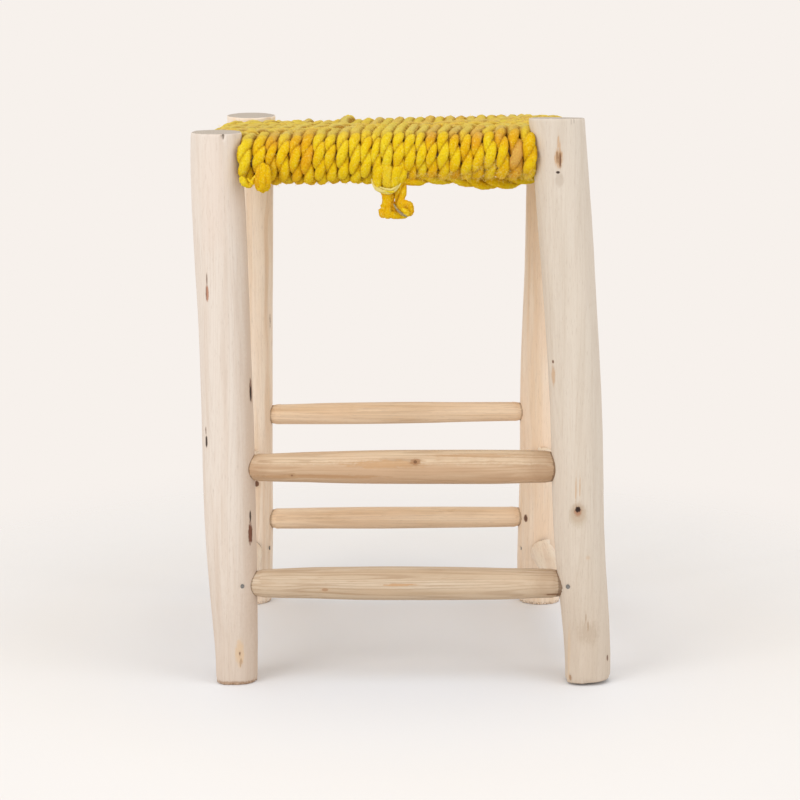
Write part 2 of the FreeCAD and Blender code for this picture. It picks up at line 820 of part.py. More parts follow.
def make_tail_cord():
    points = tail_points()
    radii = route_radii(points)
    print("tail_cord bend radii: " + ", ".join("%.1f" % radius for radius in radii))
    for point in points:
        print("  route point %.2f %.2f %.2f" % tuple(point))
    wire = rounded_path(points, radii)
    print("tail_cord length: %.1f" % wire.Length)
    cord = doc.addObject("Part::Feature", "tail_cord")
    cord.Shape = tube(wire, size("rope_diameter") / 2)
    keep("tail_cord", cord)
    return points


def make_tail_knot(points):
    """The half hitch that ends the slung stretch, with the two short ends below it."""
    name = "tail_knot"
    hitch = new_body(name + "_hitch")
    half = write_derived(name + "_half", size("tail_knot_length") / 2)
    end = write_derived(name + "_end_radius", size("rope_diameter") / 2)
    outline = (
        (None, end, None),
        (cell("tail_knot_length"), end, (half, cell("tail_knot_radius"))),
        (cell("tail_knot_length"), None, None),
        (None, None, None),
    )
    revolve(hitch, bar_profile(hitch, name, outline), name)
    heading = (points[-1] - points[-2]).normalize()
    hitch.Placement = Placement(points[-1], Rotation(Vector(1, 0, 0), heading))
    centre = points[-1] + heading * (size("tail_knot_length") / 2)
    down = Vector(0, 0, -1)
    short_top = centre + heading * (size("tail_end_spacing") / 2)
    short = axis_cylinder(
        name + "_short_end", short_top, down,
        cell("tail_end_radius"), cell("tail_end_drop"),
    )
    hook_top = centre - heading * (size("tail_end_spacing") / 2)
    bend = hook_top + down * size("tail_hook_drop")
    path = rounded_path(
        [hook_top, bend, bend - heading * size("tail_hook_length")], [size("tail_hook_bend")]
    )
    hook = doc.addObject("Part::Feature", name + "_hooked_end")
    hook.Shape = tube(path, size("tail_end_radius"))
    knot = doc.addObject("Part::MultiFuse", name)
    knot.Shapes = [hitch, short, hook]
    keep(name, knot)


def make_all():
    drills = {leg: [] for leg in LEGS}
    for side in SIDES:
        make_rail(side, drills)
        for level in ("upper", "lower"):
            make_rung(side, level, drills)
    for leg in LEGS:
        make_leg(leg, drills[leg])
    wires = {side: make_winding(side) for side in SIDES}
    print_gaps(wires)
    make_start_knot()
    make_tail_knot(make_tail_cord())
    doc.recompute()


def check_all():
    for item in doc.Objects:
        if "Invalid" in item.State or "Error" in item.State:
            raise RuntimeError("%s did not build: %s" % (item.Name, item.State))
    for node, item in nodes.items():
        if item.Shape.isNull() or not item.Shape.isValid():
            raise RuntimeError("%s has no valid shape" % node)
        if not item.Shape.Solids:
            raise RuntimeError("%s has no solid" % node)


def write_parts():
    os.makedirs("parts", exist_ok=True)
    for node, item in nodes.items():
        item.Shape.exportStep("parts/%s.step" % node)
        print("%-22s %d solid, volume %.0f" % (node, len(item.Shape.Solids), item.Shape.Volume))


make_all()
check_all()
write_parts()
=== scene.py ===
import math
import random

import bmesh
import bpy
import numpy as np
from mathutils import Matrix, Vector, noise
from mathutils.bvhtree import BVHTree


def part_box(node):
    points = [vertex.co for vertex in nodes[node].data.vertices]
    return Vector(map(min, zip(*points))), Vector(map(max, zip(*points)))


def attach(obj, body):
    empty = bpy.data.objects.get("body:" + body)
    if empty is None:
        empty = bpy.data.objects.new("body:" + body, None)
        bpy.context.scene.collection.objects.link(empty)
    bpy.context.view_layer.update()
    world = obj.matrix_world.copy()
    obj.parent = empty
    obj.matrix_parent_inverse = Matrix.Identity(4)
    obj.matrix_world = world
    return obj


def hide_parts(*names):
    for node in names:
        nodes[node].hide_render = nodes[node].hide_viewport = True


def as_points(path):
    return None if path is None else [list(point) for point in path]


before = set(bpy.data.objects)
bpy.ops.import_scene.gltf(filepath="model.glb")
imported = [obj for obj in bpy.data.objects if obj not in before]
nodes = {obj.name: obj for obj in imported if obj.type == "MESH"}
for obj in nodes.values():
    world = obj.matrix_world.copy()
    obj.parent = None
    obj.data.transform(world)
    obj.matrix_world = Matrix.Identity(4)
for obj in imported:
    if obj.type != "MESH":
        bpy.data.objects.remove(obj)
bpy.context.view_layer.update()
scene = bpy.context.scene
MM = 0.001


# Camera, where the photograph's perspective puts it

CAMERA_PLACE = (-0.0028, -2.0367, 0.54306)
CAMERA_DIP = 0.16148
SENSOR_WIDTH = 36.0
FOCAL_LENGTH = 107.39


def set_camera():
    data = bpy.data.cameras.new("camera")
    data.sensor_width = SENSOR_WIDTH
    data.lens = FOCAL_LENGTH
    camera = bpy.data.objects.new("camera", data)
    camera.location = CAMERA_PLACE
    camera.rotation_euler = (math.pi / 2 - CAMERA_DIP, 0.0, 0.0)
    scene.collection.objects.link(camera)
    scene.camera = camera


set_camera()


# Shader nodes

# The Mix node's colour sockets, by number, because their names repeat.
MIX_SHARE, MIX_FIRST, MIX_SECOND, MIX_RESULT = 0, 6, 7, 2


def paint(red, green, blue):
    """A colour as it looks on screen, 0 to 255, turned into the linear one of a socket."""
    shares = [part / 255 for part in (red, green, blue)]
    linear = [s / 12.92 if s <= 0.04045 else ((s + 0.055) / 1.055) ** 2.4 for s in shares]
    return (*linear, 1.0)


def feed(tree, socket, value):
    """Give a socket its value, or link it to another node's output."""
    if isinstance(value, bpy.types.NodeSocket):
        tree.links.new(value, socket)
    else:
        socket.default_value = value


def place(tree, kind, settings=None, **inputs):
    """One node and what goes into it. An underscore in a socket's name stands for a space."""
    node = tree.nodes.new(kind)
    for name, value in (settings or {}).items():
        setattr(node, name, value)
    for name, value in inputs.items():
        feed(tree, node.inputs[name.replace("_", " ")], value)
    return node


def maths(tree, operation, *values, clamp=False):
    node = tree.nodes.new("ShaderNodeMath")
    node.operation = operation
    node.use_clamp = clamp
    for socket, value in zip(node.inputs, values):
        feed(tree, socket, value)
    return node.outputs[0]


def vectors(tree, operation, *values):
    node = tree.nodes.new("ShaderNodeVectorMath")
    node.operation = operation
    for socket, value in zip(node.inputs, values):
        feed(tree, socket, value)
    return node.outputs["Value" if operation in ("LENGTH", "DOT_PRODUCT") else "Vector"]


def mixed(tree, share, first, second):
    """The first colour where the share is 0, the second where it is 1."""
    node = tree.nodes.new("ShaderNodeMix")
    node.data_type = "RGBA"
    feed(tree, node.inputs[MIX_SHARE], share)
    feed(tree, node.inputs[MIX_FIRST], first)
    feed(tree, node.inputs[MIX_SECOND], second)
    return node.outputs[MIX_RESULT]


def tinted(tree, colour, mask, share, tint):
    """A colour with a tint laid over it, which takes the given share where the mask is 1."""
    return mixed(tree, maths(tree, "MULTIPLY", mask, share, clamp=True), colour, tint)


def faded(tree, value, low, high):
    """0 at the first value and 1 at the second, with a soft rise between them."""
    node = place(tree, "ShaderNodeMapRange", Value=value, From_Min=low, From_Max=high)
    node.interpolation_type = "SMOOTHSTEP"
    return node.outputs["Result"]


def cloudy(tree, vector, scale, detail=2.0, roughness=0.5):
    node = place(
        tree, "ShaderNodeTexNoise", Vector=vector, Scale=scale, Detail=detail,
        Roughness=roughness,
    )
    return node.outputs["Fac"]


def stretched(tree, vector, scale):
    node = place(tree, "ShaderNodeMapping", Vector=vector, Scale=scale)
    return node.outputs["Vector"]


def ramp(tree, value, stops):
    node = place(tree, "ShaderNodeValToRGB", Fac=value)
    elements = node.color_ramp.elements
    while len(elements) < len(stops):
        elements.new(1.0)
    for element, (at, colour) in zip(elements, stops):
        element.position = at
        element.color = colour
    return node.outputs["Color"]


def new_group(name, inputs, outputs):
    group = bpy.data.node_groups.new(name, "ShaderNodeTree")
    for label, kind in inputs:
        group.interface.new_socket(name=label, in_out="INPUT", socket_type=kind)
    for label, kind in outputs:
        group.interface.new_socket(name=label, in_out="OUTPUT", socket_type=kind)
    way_in = group.nodes.new("NodeGroupInput")
    way_out = group.nodes.new("NodeGroupOutput")
    return group, way_in.outputs, way_out.inputs


def use_group(tree, group, **inputs):
    node = tree.nodes.new("ShaderNodeGroup")
    node.node_tree = group
    for name, value in inputs.items():
        feed(tree, node.inputs[name.replace("_", " ")], value)
    return node.outputs


def new_material(name):
    material = bpy.data.materials.new(name)
    material.use_nodes = True
    tree = material.node_tree
    tree.nodes.clear()
    shader = tree.nodes.new("ShaderNodeBsdfPrincipled")
    output = tree.nodes.new("ShaderNodeOutputMaterial")
    tree.links.new(shader.outputs["BSDF"], output.inputs["Surface"])
    return material, tree, shader.inputs


def bumped(tree, height, strength, distance):
    node = place(tree, "ShaderNodeBump", Height=height, Strength=strength, Distance=distance)
    return node.outputs["Normal"]


# Curves, meshes and pieces

def new_curve(name, radius=0.0, facets=0):
    data = bpy.data.curves.new(name, "CURVE")
    data.dimensions = "3D"
    data.bevel_depth = radius
    data.bevel_resolution = facets
    return data


def curve_mesh(data, name):
    """The mesh that a curve gives. The curve itself is removed."""
    holder = bpy.data.objects.new(name, data)
    mesh = bpy.data.meshes.new_from_object(holder)
    bpy.data.objects.remove(holder)
    bpy.data.curves.remove(data)
    mesh.name = name
    return mesh


def dress(mesh, material):
    mesh.materials.clear()
    mesh.materials.append(material)


def new_piece(name, mesh, material):
    dress(mesh, material)
    piece = bpy.data.objects.new(name, mesh)
    scene.collection.objects.link(piece)
    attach(piece, "root")
    return piece


# Rope: its lines and plies

# The seat's frame: its origin on the rails' middle, turned and tilted as in the photograph.
SEAT = (
    Matrix.Translation((-0.0073, 0.0, 0.4284))
    @ Matrix.Rotation(math.radians(-2.1), 4, "Z")
    @ Matrix.Rotation(math.radians(-1.5), 4, "Y")
    @ Matrix.Rotation(math.radians(-0.3), 4, "X")
)
UNSEAT = SEAT.inverted()
# From the seat's middle to a rail's centre line, and from there to the middle of its rope.
HALF_SPAN = 0.136
ROPE_ROUND_RAIL = 0.0151
# A ply's middle from the rope's, its radius and facets, and the length of one twist.
PLY_OFFSET = 0.0020
PLY_RADIUS = 0.0036
PLY_SIDES = 14
LAY = 0.029
# How many points a rope's line has for each point of its route.
STEPS = 6
# How far the lay wanders and the plies swell, and how often in a metre.
DRIFT, DRIFTS = 0.50, 34
SWELL, SWELLS = 0.20, 96
# A ply's thickness at the rope's sides, and how much it grows towards the outside.
SIDE_GIRTH, OUTER_SWELL = 0.97, 0.13
# A rounded end, from its tip: the share of the thickness, and how far out in thicknesses.
ROUND_END = ((0.02, 0.92), (0.5, 0.80), (0.8, 0.42))
# How much the dye changes along a ply, and how often in a metre.
FIBRE_DYE, FIBRE_CHANGES = 0.20, 48
# How far from the rope's centre the painted shade in the groove between its plies ends, and
# how softly.
GROOVE_SHADE_REACH, GROOVE_SHADE_FADE = 0.0041, 0.0010
# Painted shade where a turn meets its neighbour: how far aside it begins, how softly, and
# how both change where the turn carries its wear and painted sheen.
NEIGHBOUR_SHADE, NEIGHBOUR_SHADE_FADE = 0.0042, 0.0010
WORN_AND_SHEEN_NEARER, WORN_AND_SHEEN_SOFTER = 0.0024, 0.0012
# Lumps on a ply: how often they change in a metre, their height as a share of its radius,
# and how many times that on a single strand.
BROAD_LUMPS, FINE_LUMPS = 210, 620
LUMP_HEIGHT, STRAND_LUMPS = 0.14, 1.7
# The tips of the plies are closed by welding what is nearer than this.
WELD = 0.00015


def rope_line(points, steps):
    """The points along a NURBS spline through a route."""
    data = new_curve("line")
    spline = data.splines.new("NURBS")
    spline.points.add(len(points) - 1)
    for control, point in zip(spline.points, points):
        control.co = (*point, 1.0)
    spline.order_u = 3
    spline.use_endpoint_u = True
    spline.resolution_u = steps
    mesh = curve_mesh(data, "line")
    line = [vertex.co.copy() for vertex in mesh.vertices]
    bpy.data.meshes.remove(mesh)
    return line


def frames_along(line):
    """Along a line: how far each point lies from the start, and two directions across it."""
    run = 0.0
    runs, sides, acrosses = [], [], []
    side = (line[1] - line[0]).orthogonal().normalized()
    for index, point in enumerate(line):
        before = line[max(index - 1, 0)]
        after = line[min(index + 1, len(line) - 1)]
        ahead = (after - before).normalized()
        side = (side - ahead * side.dot(ahead)).normalized()
        run += (point - before).length
        runs.append(run)
        sides.append(side.copy())
        acrosses.append(ahead.cross(side))
    return runs, sides, acrosses


def twist_start(line, frames, lay, crossing):
    """The plies' starting angle that puts the groove between them at a given point of the
    rope, with one ply in the given direction from it."""
    place_of, sideways = crossing
    near = min(range(len(line)), key=lambda index: (line[index] - place_of).length)
    runs, sides, acrosses = frames
    angle = math.atan2(sideways.dot(acrosses[near]), sideways.dot(sides[near]))
    return angle - math.tau * runs[near] / lay


def smoothed(value, low, high):
    """0 at the first value and 1 at the second, with a soft rise between them."""
    share = min(max((value - low) / (high - low), 0.0), 1.0)
    return share * share * (3 - 2 * share)


class Rope:
    """The plies of several stretches of rope, collected and then made into one piece. A dye
    or a wear, with its painted sheen and shade, is a number, or a function of a point."""

    def __init__(self):
        self.plies = []

    def add(self, points, phase, dye, seed, steps=STEPS, lay=LAY, girth=1.0, worn_and_sheen=0.0,
            crossing=None, lane=None):
        """A stretch of two plies. Its lane is the direction to the neighbouring turns."""
        line = rope_line(points, steps)
        frames = frames_along(line)
        if crossing:
            phase = twist_start(line, frames, lay, crossing)
        for which in range(2):
            middles, thick = [], []
            for point, run, side, across in zip(line, *frames):
                drift = DRIFT * noise.noise(Vector((seed * 5.1, 0.0, run * DRIFTS)))
                angle = phase + drift + math.tau * run / lay + which * math.pi
                out = side * math.cos(angle) + across * math.sin(angle)
                uneven = noise.noise(Vector((seed * 7.3, which * 3.1, run * SWELLS)))
                swell = 1 + SWELL * uneven
                if lane:
                    outward = side.cross(across).cross(lane)
                    swell *= SIDE_GIRTH + OUTER_SWELL * max(0.0, out.dot(outward))
                middles.append(point + out * PLY_OFFSET * girth)
                thick.append(PLY_RADIUS * girth * swell)
            self.keep(line, middles, thick, frames[0], dye, worn_and_sheen, girth, seed * 2 + which, lane)

    def strand(self, points, radii, dye, worn_and_sheen, seed):
        """One ply by itself, with its radius at each of the route's points."""
        line = rope_line(points, STEPS)
        runs = frames_along(line)[0]
        shares = [run / runs[-1] * (len(radii) - 1) for run in runs]
        thick = [float(np.interp(share, range(len(radii)), radii)) for share in shares]
        self.keep(None, line, thick, runs, dye, worn_and_sheen, 1.0, seed)

    def keep(self, line, middles, thick, runs, dye, worn_and_sheen, girth, seed, lane=None):
        """Note down one ply, with both its ends rounded off."""
        start = (middles[0] - middles[1]).normalized()
        end = (middles[-1] - middles[-2]).normalized()
        first = [
            (middles[0] + start * thick[0] * far, thick[0] * full) for full, far in ROUND_END
        ]
        last = [
            (middles[-1] + end * thick[-1] * far, thick[-1] * full) for full, far in ROUND_END
        ]
        knots = first + list(zip(middles, thick)) + last[::-1]
        centres = line or middles
        more = len(ROUND_END)
        centres = [centres[0]] * more + list(centres) + [centres[-1]] * more
        lengths = [runs[0]] * more + list(runs) + [runs[-1]] * more
        dyes = []
        for (point, _), run in zip(knots, lengths):
            fibre = noise.noise(Vector((seed * 2.7, 4.0, run * FIBRE_CHANGES)))
            dyes.append((dye(point) if callable(dye) else dye) + FIBRE_DYE * fibre)
        wear_and_sheen = [worn_and_sheen(point) if callable(worn_and_sheen) else worn_and_sheen for point, _ in knots]
        self.plies.append((knots, centres, dyes, wear_and_sheen, girth if line else 0.0, lane))

    def make(self, name):
        data = new_curve(name, 1.0, (PLY_SIDES - 4) // 2)
        for knots, *_ in self.plies:
            spline = data.splines.new("POLY")
            spline.use_smooth = True
            spline.points.add(len(knots) - 1)
            for control, (point, thick) in zip(spline.points, knots):
                control.co = (*point, 1.0)
                control.radius = thick
        mesh = curve_mesh(data, name)
        self.mark(mesh)
        closed = bmesh.new()
        closed.from_mesh(mesh)
        bmesh.ops.remove_doubles(closed, verts=closed.verts, dist=WELD)
        closed.to_mesh(mesh)
        closed.free()
        piece = new_piece(name, mesh, rope_material)
        return piece

    def mark(self, mesh):
        """Make the plies lumpy, and note each point's painted shade in the groove between the
        plies and beside the neighbouring turns, its dye, and its wear with painted sheen and
        shade."""
        places = np.empty(len(mesh.vertices) * 3, np.float32)
        mesh.vertices.foreach_get("co", places)
        places = places.reshape(-1, 3)
        marks = {"groove_shade": [], "dye": [], "worn_and_sheen": []}
        start = 0
        for knots, centres, dyes, wear_and_sheen, girth, lane in self.plies:
            count = len(knots) * PLY_SIDES
            skin = places[start:start + count]
            middles = np.repeat(np.array([point for point, _ in knots]), PLY_SIDES, axis=0)
            centre = np.repeat(np.array(centres), PLY_SIDES, axis=0)
            out = np.linalg.norm(skin - centre, axis=1) / max(girth, 0.1)
            deep = np.zeros(count)
            if girth:
                deep = np.clip((GROOVE_SHADE_REACH - out) / GROOVE_SHADE_FADE, 0, 1)
            if lane:
                aside = np.abs((skin - centre) @ np.array(lane)) / girth
                wear_and_sheen_share = np.clip(np.repeat(wear_and_sheen, PLY_SIDES), 0, 1)
                beyond = aside - NEIGHBOUR_SHADE + WORN_AND_SHEEN_NEARER * wear_and_sheen_share
                edge = beyond / (NEIGHBOUR_SHADE_FADE + WORN_AND_SHEEN_SOFTER * wear_and_sheen_share)
                deep = np.maximum(deep, np.clip(edge, 0, 1))
            lumps = [lump(point) for point in skin.tolist()]
            rough = 1.0 if girth else STRAND_LUMPS
            skin += (skin - middles) * np.array(lumps)[:, None] * rough
            marks["groove_shade"].append(deep)
            marks["dye"].append(np.repeat(dyes, PLY_SIDES))
            marks["worn_and_sheen"].append(np.repeat(wear_and_sheen, PLY_SIDES))
            start += count
        mesh.vertices.foreach_set("co", places.ravel())
        for label, parts in marks.items():
            layer = mesh.attributes.new(label, "FLOAT", "POINT")
            layer.data.foreach_set("value", np.concatenate(parts).astype(np.float32))


def lump(point):
    """The share by which a ply's surface stands out or in at a point."""
    x, y, z = point
    broad = noise.noise(Vector((x * BROAD_LUMPS, y * BROAD_LUMPS, z * BROAD_LUMPS)))
    fine = noise.noise(Vector((x * FINE_LUMPS + 9, y * FINE_LUMPS, z * FINE_LUMPS)))
    return LUMP_HEIGHT * broad + LUMP_HEIGHT * fine


def rope_finish():
    """Dyed cotton rope: soft, blotchy yellow going to orange and peach, with painted shade
    between the plies and between the turns. Where it is sat on it is duller: wear, and painted
    grazing sheen and shade as well."""
    material, tree, shader = new_material("dyed cotton rope")
    spot = place(tree, "ShaderNodeTexCoord").outputs["Object"]
    dye, groove_shade, worn_and_sheen = [
        place(tree, "ShaderNodeAttribute", {"attribute_name": label}).outputs["Fac"]
        for label in ("dye", "groove_shade", "worn_and_sheen")
    ]
    blotch = cloudy(tree, spot, 110.0, 3.0, 0.6)
    shade = maths(tree, "MULTIPLY_ADD", maths(tree, "SUBTRACT", blotch, 0.5), 0.60, dye)
    colour = ramp(tree, shade, (
        (0.0, paint(250, 230, 140)),
        (0.12, paint(252, 224, 52)),
        (0.36, paint(255, 217, 22)),
        (0.56, paint(252, 199, 10)),
        (0.76, paint(244, 176, 24)),
        (0.94, paint(236, 178, 86)),
    ))
    # Above nothing, the wear tint is wear, and on the seat's top painted grazing sheen and shade
    # as well. Below nothing, the wear stands for a cut end's grey, frayed cotton.
    colour = tinted(tree, colour, worn_and_sheen, 0.80, paint(230, 209, 126))
    colour = tinted(tree, colour, worn_and_sheen, -1.0, paint(158, 142, 116))
    tufts = cloudy(tree, spot, 620.0, 3.0, 0.65)
    colour = tinted(tree, colour, faded(tree, tufts, 0.50, 0.72), 0.55, paint(255, 234, 112))
    colour = tinted(tree, colour, faded(tree, tufts, 0.46, 0.26), 0.48, paint(196, 138, 0))
    # Painted shade in the grooves between the plies and between neighbouring turns.
    colour = tinted(tree, colour, groove_shade, 0.76, paint(172, 108, 0))
    feed(tree, shader["Base Color"], colour)
    shader["Roughness"].default_value = 1.0
    shader["Specular IOR Level"].default_value = 0.05
    shader["Sheen Weight"].default_value = 0.10
    shader["Sheen Roughness"].default_value = 0.5
    shader["Sheen Tint"].default_value = paint(226, 220, 140)
    fibre = cloudy(tree, spot, 1500.0, 3.0, 0.7)
    height = maths(tree, "MULTIPLY_ADD", tufts, 1.6, fibre)
    feed(tree, shader["Normal"], bumped(tree, height, 0.85, 0.0014))
    return material


rope_material = rope_finish()


# Slung rope and half hitch below the front of the seat

TAIL_EXIT = (0.11501, -0.11248, 0.41674)
TAIL_STEPS = 9
TAIL_ROUTE = (
    TAIL_EXIT,
    (0.1080, -0.1122, 0.4142),
    (0.1010, -0.1121, 0.4114),
    (0.0930, -0.1125, 0.4090),
    (0.0848, -0.1140, 0.4074),
    (0.0736, -0.1165, 0.4070),
    (0.0600, -0.1200, 0.4073),
    (0.0480, -0.1245, 0.4102),
    (0.0366, -0.1298, 0.4120),
    (0.0213, -0.1383, 0.4126),
    (0.0084, -0.1440, 0.4118),
    (-0.0027, -0.1465, 0.4104),
)
BENT_END_ROUTE = (
    (-0.0016, -0.1460, 0.4110),
    (-0.0022, -0.1500, 0.4050),
    (-0.0026, -0.1510, 0.3990),
    (-0.0034, -0.1505, 0.3945),
    (-0.0024, -0.1505, 0.3890),
    (0.0004, -0.1495, 0.3862),
)
# Single strands of the half hitch: a route in mm, the radius along it in mm, dye and wear.
# First the lobes round the front rope and the thin strands across them, then the flared end,
# the curled end and its cut.
HITCH_STRANDS = (
    (((-18.4, -153, 420.4), (-21.6, -152.5, 411), (-19.6, -150, 405.6)),
     (3.8, 4.2, 3.0), 0.40, 0.0),
    (((-12.6, -154, 421.0), (-13.6, -153.5, 410), (-11.8, -150.5, 404.4)),
     (3.8, 4.3, 3.6), 0.34, 0.1),
    (((-5.0, -154, 420), (-6.8, -153.5, 411.4), (-8.6, -151, 406.0)),
     (3.6, 4.2, 3.2), 0.42, 0.0),
    (((0.0, -152, 418.4), (-2.2, -152.5, 413.4), (-5.0, -151, 409.0)),
     (3.4, 4.0, 2.8), 0.36, 0.0),
    (((-25.0, -150, 412.0), (-24.0, -153, 407.0), (-19.6, -155, 403.4), (-12.0, -156, 402.4)),
     (0.8, 1.0, 1.1, 0.7), -0.2, 0.0),
    (((-24.0, -151, 408.6), (-20.6, -154, 405.2), (-14.4, -156, 403.0), (-8.0, -156, 402.8)),
     (0.6, 0.9, 1.2, 0.9), 0.10, 0.0),
    (((-22.4, -151, 404.4), (-17.4, -154, 402.2), (-11.4, -155, 401.2), (-5.6, -155, 404.2),
      (-2.4, -154, 409.0)), (0.6, 1.1, 1.2, 1.0, 0.6), 0.02, 0.0),
    (((-18.6, -155, 406.4), (-13.0, -157, 404.4), (-8.0, -156.6, 404.6), (-4.6, -155, 407.4)),
     (0.5, 0.9, 0.9, 0.6), -0.1, 0.0),
    (((-15.4, -148, 405), (-14.4, -150, 399), (-14.0, -150.5, 393), (-15.6, -151, 387),
      (-16.4, -151, 385)), (3.6, 3.1, 2.8, 3.3, 3.7), 0.64, 0.0),
    (((-12.2, -149, 405), (-12.2, -150.5, 399), (-12.0, -151, 393), (-12.4, -151.5, 387),
      (-12.4, -151.5, 384.4)), (3.6, 3.4, 3.0, 3.4, 3.8), 0.58, 0.0),
    (((-9.6, -147, 405), (-9.8, -148.5, 399), (-9.8, -149, 393), (-8.6, -149.5, 387),
      (-7.8, -149.5, 384.6)), (3.4, 3.2, 2.9, 3.4, 3.8), 0.66, 0.0),
    (((-2.4, -151, 387.8), (-1.6, -153, 391.8), (1.2, -154, 393.8), (4.4, -153.5, 392.4),
      (5.8, -152.5, 389.0), (5.0, -151.5, 385.2)),
     (2.5, 2.9, 3.0, 3.1, 3.0, 2.4), 0.60, 0.0),
    (((-0.6, -154.5, 389.0), (1.8, -156, 387.4), (3.2, -155, 384.8)), (1.8, 2.6, 2.0), 0.46, 0.0),
    (((-15.6, -151.5, 385.6), (-9, -152.5, 384.2), (-3, -152.5, 383.4), (1.6, -152, 383.2)),
     (2.4, 2.9, 2.7, 1.8), 0.56, 0.0),
    (((-7.6, -155.4, 393.0), (-5.2, -156.6, 388.6), (-1.8, -157, 385.6), (2.4, -156.4, 383.4)),
     (0.5, 0.9, 1.0, 0.8), 0.5, -1.0),
    (((-7.2, -156, 391.4), (-4.4, -157.2, 387.4), (-0.8, -157.2, 384.2)),
     (0.4, 0.7, 0.6), 0.9, -0.7),
)


def add_strands(rope, strands, seed):
    """Single strands given in millimetres: route, radii, dye and wear of each."""
    for number, (route, radii, dye, worn_and_sheen) in enumerate(strands):
        points = [Vector(point) * MM for point in route]
        thick = [radius * MM for radius in radii]
        rope.strand(points, thick, dye, worn_and_sheen, seed + number)


def make_tail():
    tail = Rope()
    tail.add(TAIL_ROUTE, steps=TAIL_STEPS, phase=0.6, dye=0.40, lay=0.040, seed=301)
    cord = tail.make("slung_rope")
    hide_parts("tail_cord")
    hitch = Rope()
    hitch.add(BENT_END_ROUTE, phase=2.4, lay=0.046, dye=0.64, girth=0.88, seed=306)
    add_strands(hitch, HITCH_STRANDS, 310)
    knot = hitch.make("half_hitch")
    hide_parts("tail_knot")
    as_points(rope_line(TAIL_ROUTE, TAIL_STEPS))


make_tail()


# Seat: four triangles of rope

# Each rail's direction, and the way out of the seat across it.
WAYS = {
    "front": ((1, 0), (0, -1)),
    "right": ((0, 1), (1, 0)),
    "back": ((-1, 0), (0, 1)),
    "left": ((0, -1), (-1, 0)),
}
# Turns on each rail, and their spacing.
TURNS = {"front": 25, "right": 24, "back": 25, "left": 24}
PITCH = {"front": 0.00915, "right": 0.00937, "back": 0.00915, "left": 0.00937}
# Each front wrap from the left: its width beside the others, how high above the rail's
# middle (in mm) the groove between its plies crosses it, and its dye at top, middle and foot.
FRONT_WRAPS = (
    (14.0, -9.8, 0.30, 0.34, 0.38), (13.2, -6.1, 0.45, 0.52, 0.72),
    (10.9, -2.9, 0.70, 0.58, 0.50), (13.4, -2.1, 0.50, 0.44, 0.44),
    (11.9, -5.8, 0.64, 0.60, 0.54), (11.9, -6.1, 0.72, 0.64, 0.54),
    (12.0, -3.4, 0.40, 0.42, 0.42), (11.4, -6.6, 0.42, 0.40, 0.42),
    (12.8, -2.4, 0.46, 0.36, 0.38), (12.0, -7.2, 0.40, 0.38, 0.38),
    (11.0, 1.3, 0.46, 0.34, 0.36), (9.4, -1.8, 0.36, 0.36, 0.40),
    (12.4, -9.0, 0.26, 0.32, 0.38), (11.4, -5.4, 0.34, 0.36, 0.40),
    (11.3, -8.0, 0.38, 0.36, 0.44), (10.9, -7.0, 0.36, 0.38, 0.42),
    (11.3, -4.6, 0.78, 0.46, 0.66), (11.5, 6.5, 0.42, 0.38, 0.42),
    (11.1, 2.1, 0.72, 0.48, 0.66), (12.0, 0.2, 0.40, 0.66, 0.38),
    (12.2, 4.0, 0.84, 0.42, 0.56), (12.2, 6.4, 0.42, 0.36, 0.38),
    (12.6, 8.9, 0.76, 0.46, 0.54), (14.0, -7.0, 0.70, 0.92, 0.74),
    (13.8, 0.2, 0.44, 0.52, 0.40),
)
# How far the first front wrap sits nearer to its leg.
FIRST_WRAP_ASIDE = 0.0006
# The widths and dyes from which the other sides' wraps draw theirs.
OTHER_WIDTHS = (11, 13)
OTHER_DYES = (0.34, 0.40, 0.46, 0.56, 0.70)
# How much of a wrap's greater width shows in its girth.
GIRTH_FOR_WIDTH = 0.6
# How high on the rail, in shares of its wrap's radius, the three dyes lie: foot, middle, top.
DYE_HEIGHTS = (-0.9, 0.0, 0.9)
# A turn dives between its neighbours near the seat's middle: how many pitches inside that
# place, and at what height.
DIVE = ((1.35, 0.0045), (0.3, 0.0060), (-0.75, 0.0150), (-1.65, ROPE_ROUND_RAIL))
# About how far apart a route's points lie on the seat's top, and at which angles (in degrees)
# round the rail.
TOP_STEP = 0.012
ARC_ANGLES = (67.5, 22.5, -22.5, -67.5)
# How far inside its rail a winding begins to look worn, with painted grazing sheen and shade,
# and where that is full.
WORN_AND_SHEEN_EDGES = {
    "front": (-0.0146, 0.006), "left": (-0.022, -0.004), "right": (-0.014, 0.0),
    "back": (-0.018, -0.002),
}
# The range of a turn's fullest wear with its painted sheen and shade, and how far above its
# rail's middle that is reached.
WEAR_AND_SHEEN = (0.45, 1.0)
WORN_AND_SHEEN_HEIGHT = 0.010
# How uneven the turns are: each one's lift from its rail, how many times that on each side,
# and each point's own play.
LIFTS = (-0.0006, 0.0007)
SIDE_LIFTS = {"front": 1.0, "right": 2.0, "back": 1.0, "left": 2.0}
PLAY = 0.0005
# The length of a turn's twist, beside the usual one.
LAYS = (0.94, 1.10)
# The front winding stands out a little at its middle: how far, round which turn, and how many
# turns wide.
PROUD, PROUD_TURN, PROUD_WIDTH = 0.0012, 12.5, 1.2
# It is flatter low down on the right: from where along it, below what height, by what share.
FLAT_FROM, FLAT_BELOW, FLATTENED = 0.020, -0.010, 0.10
# The lump on the back winding: its turn, lift and girth, the edges of its wear and painted
# sheen, and the heights between which it gives way to an even turn.
LUMPY_TURN = 17
LUMP_LIFT, LUMP_GIRTH = 0.0026, 1.16
LUMP_EDGES = (0.000, 0.040)
LUMP_FOOT = (0.004, -0.006)
# The left winding bulges out and up. It bulges out more towards its back end, from the first
# of these places along it to the second.
RAIL_BULGE = {"left": (0.0055, 0.0012)}
BULGE_ALONG = (-0.110, 0.060)
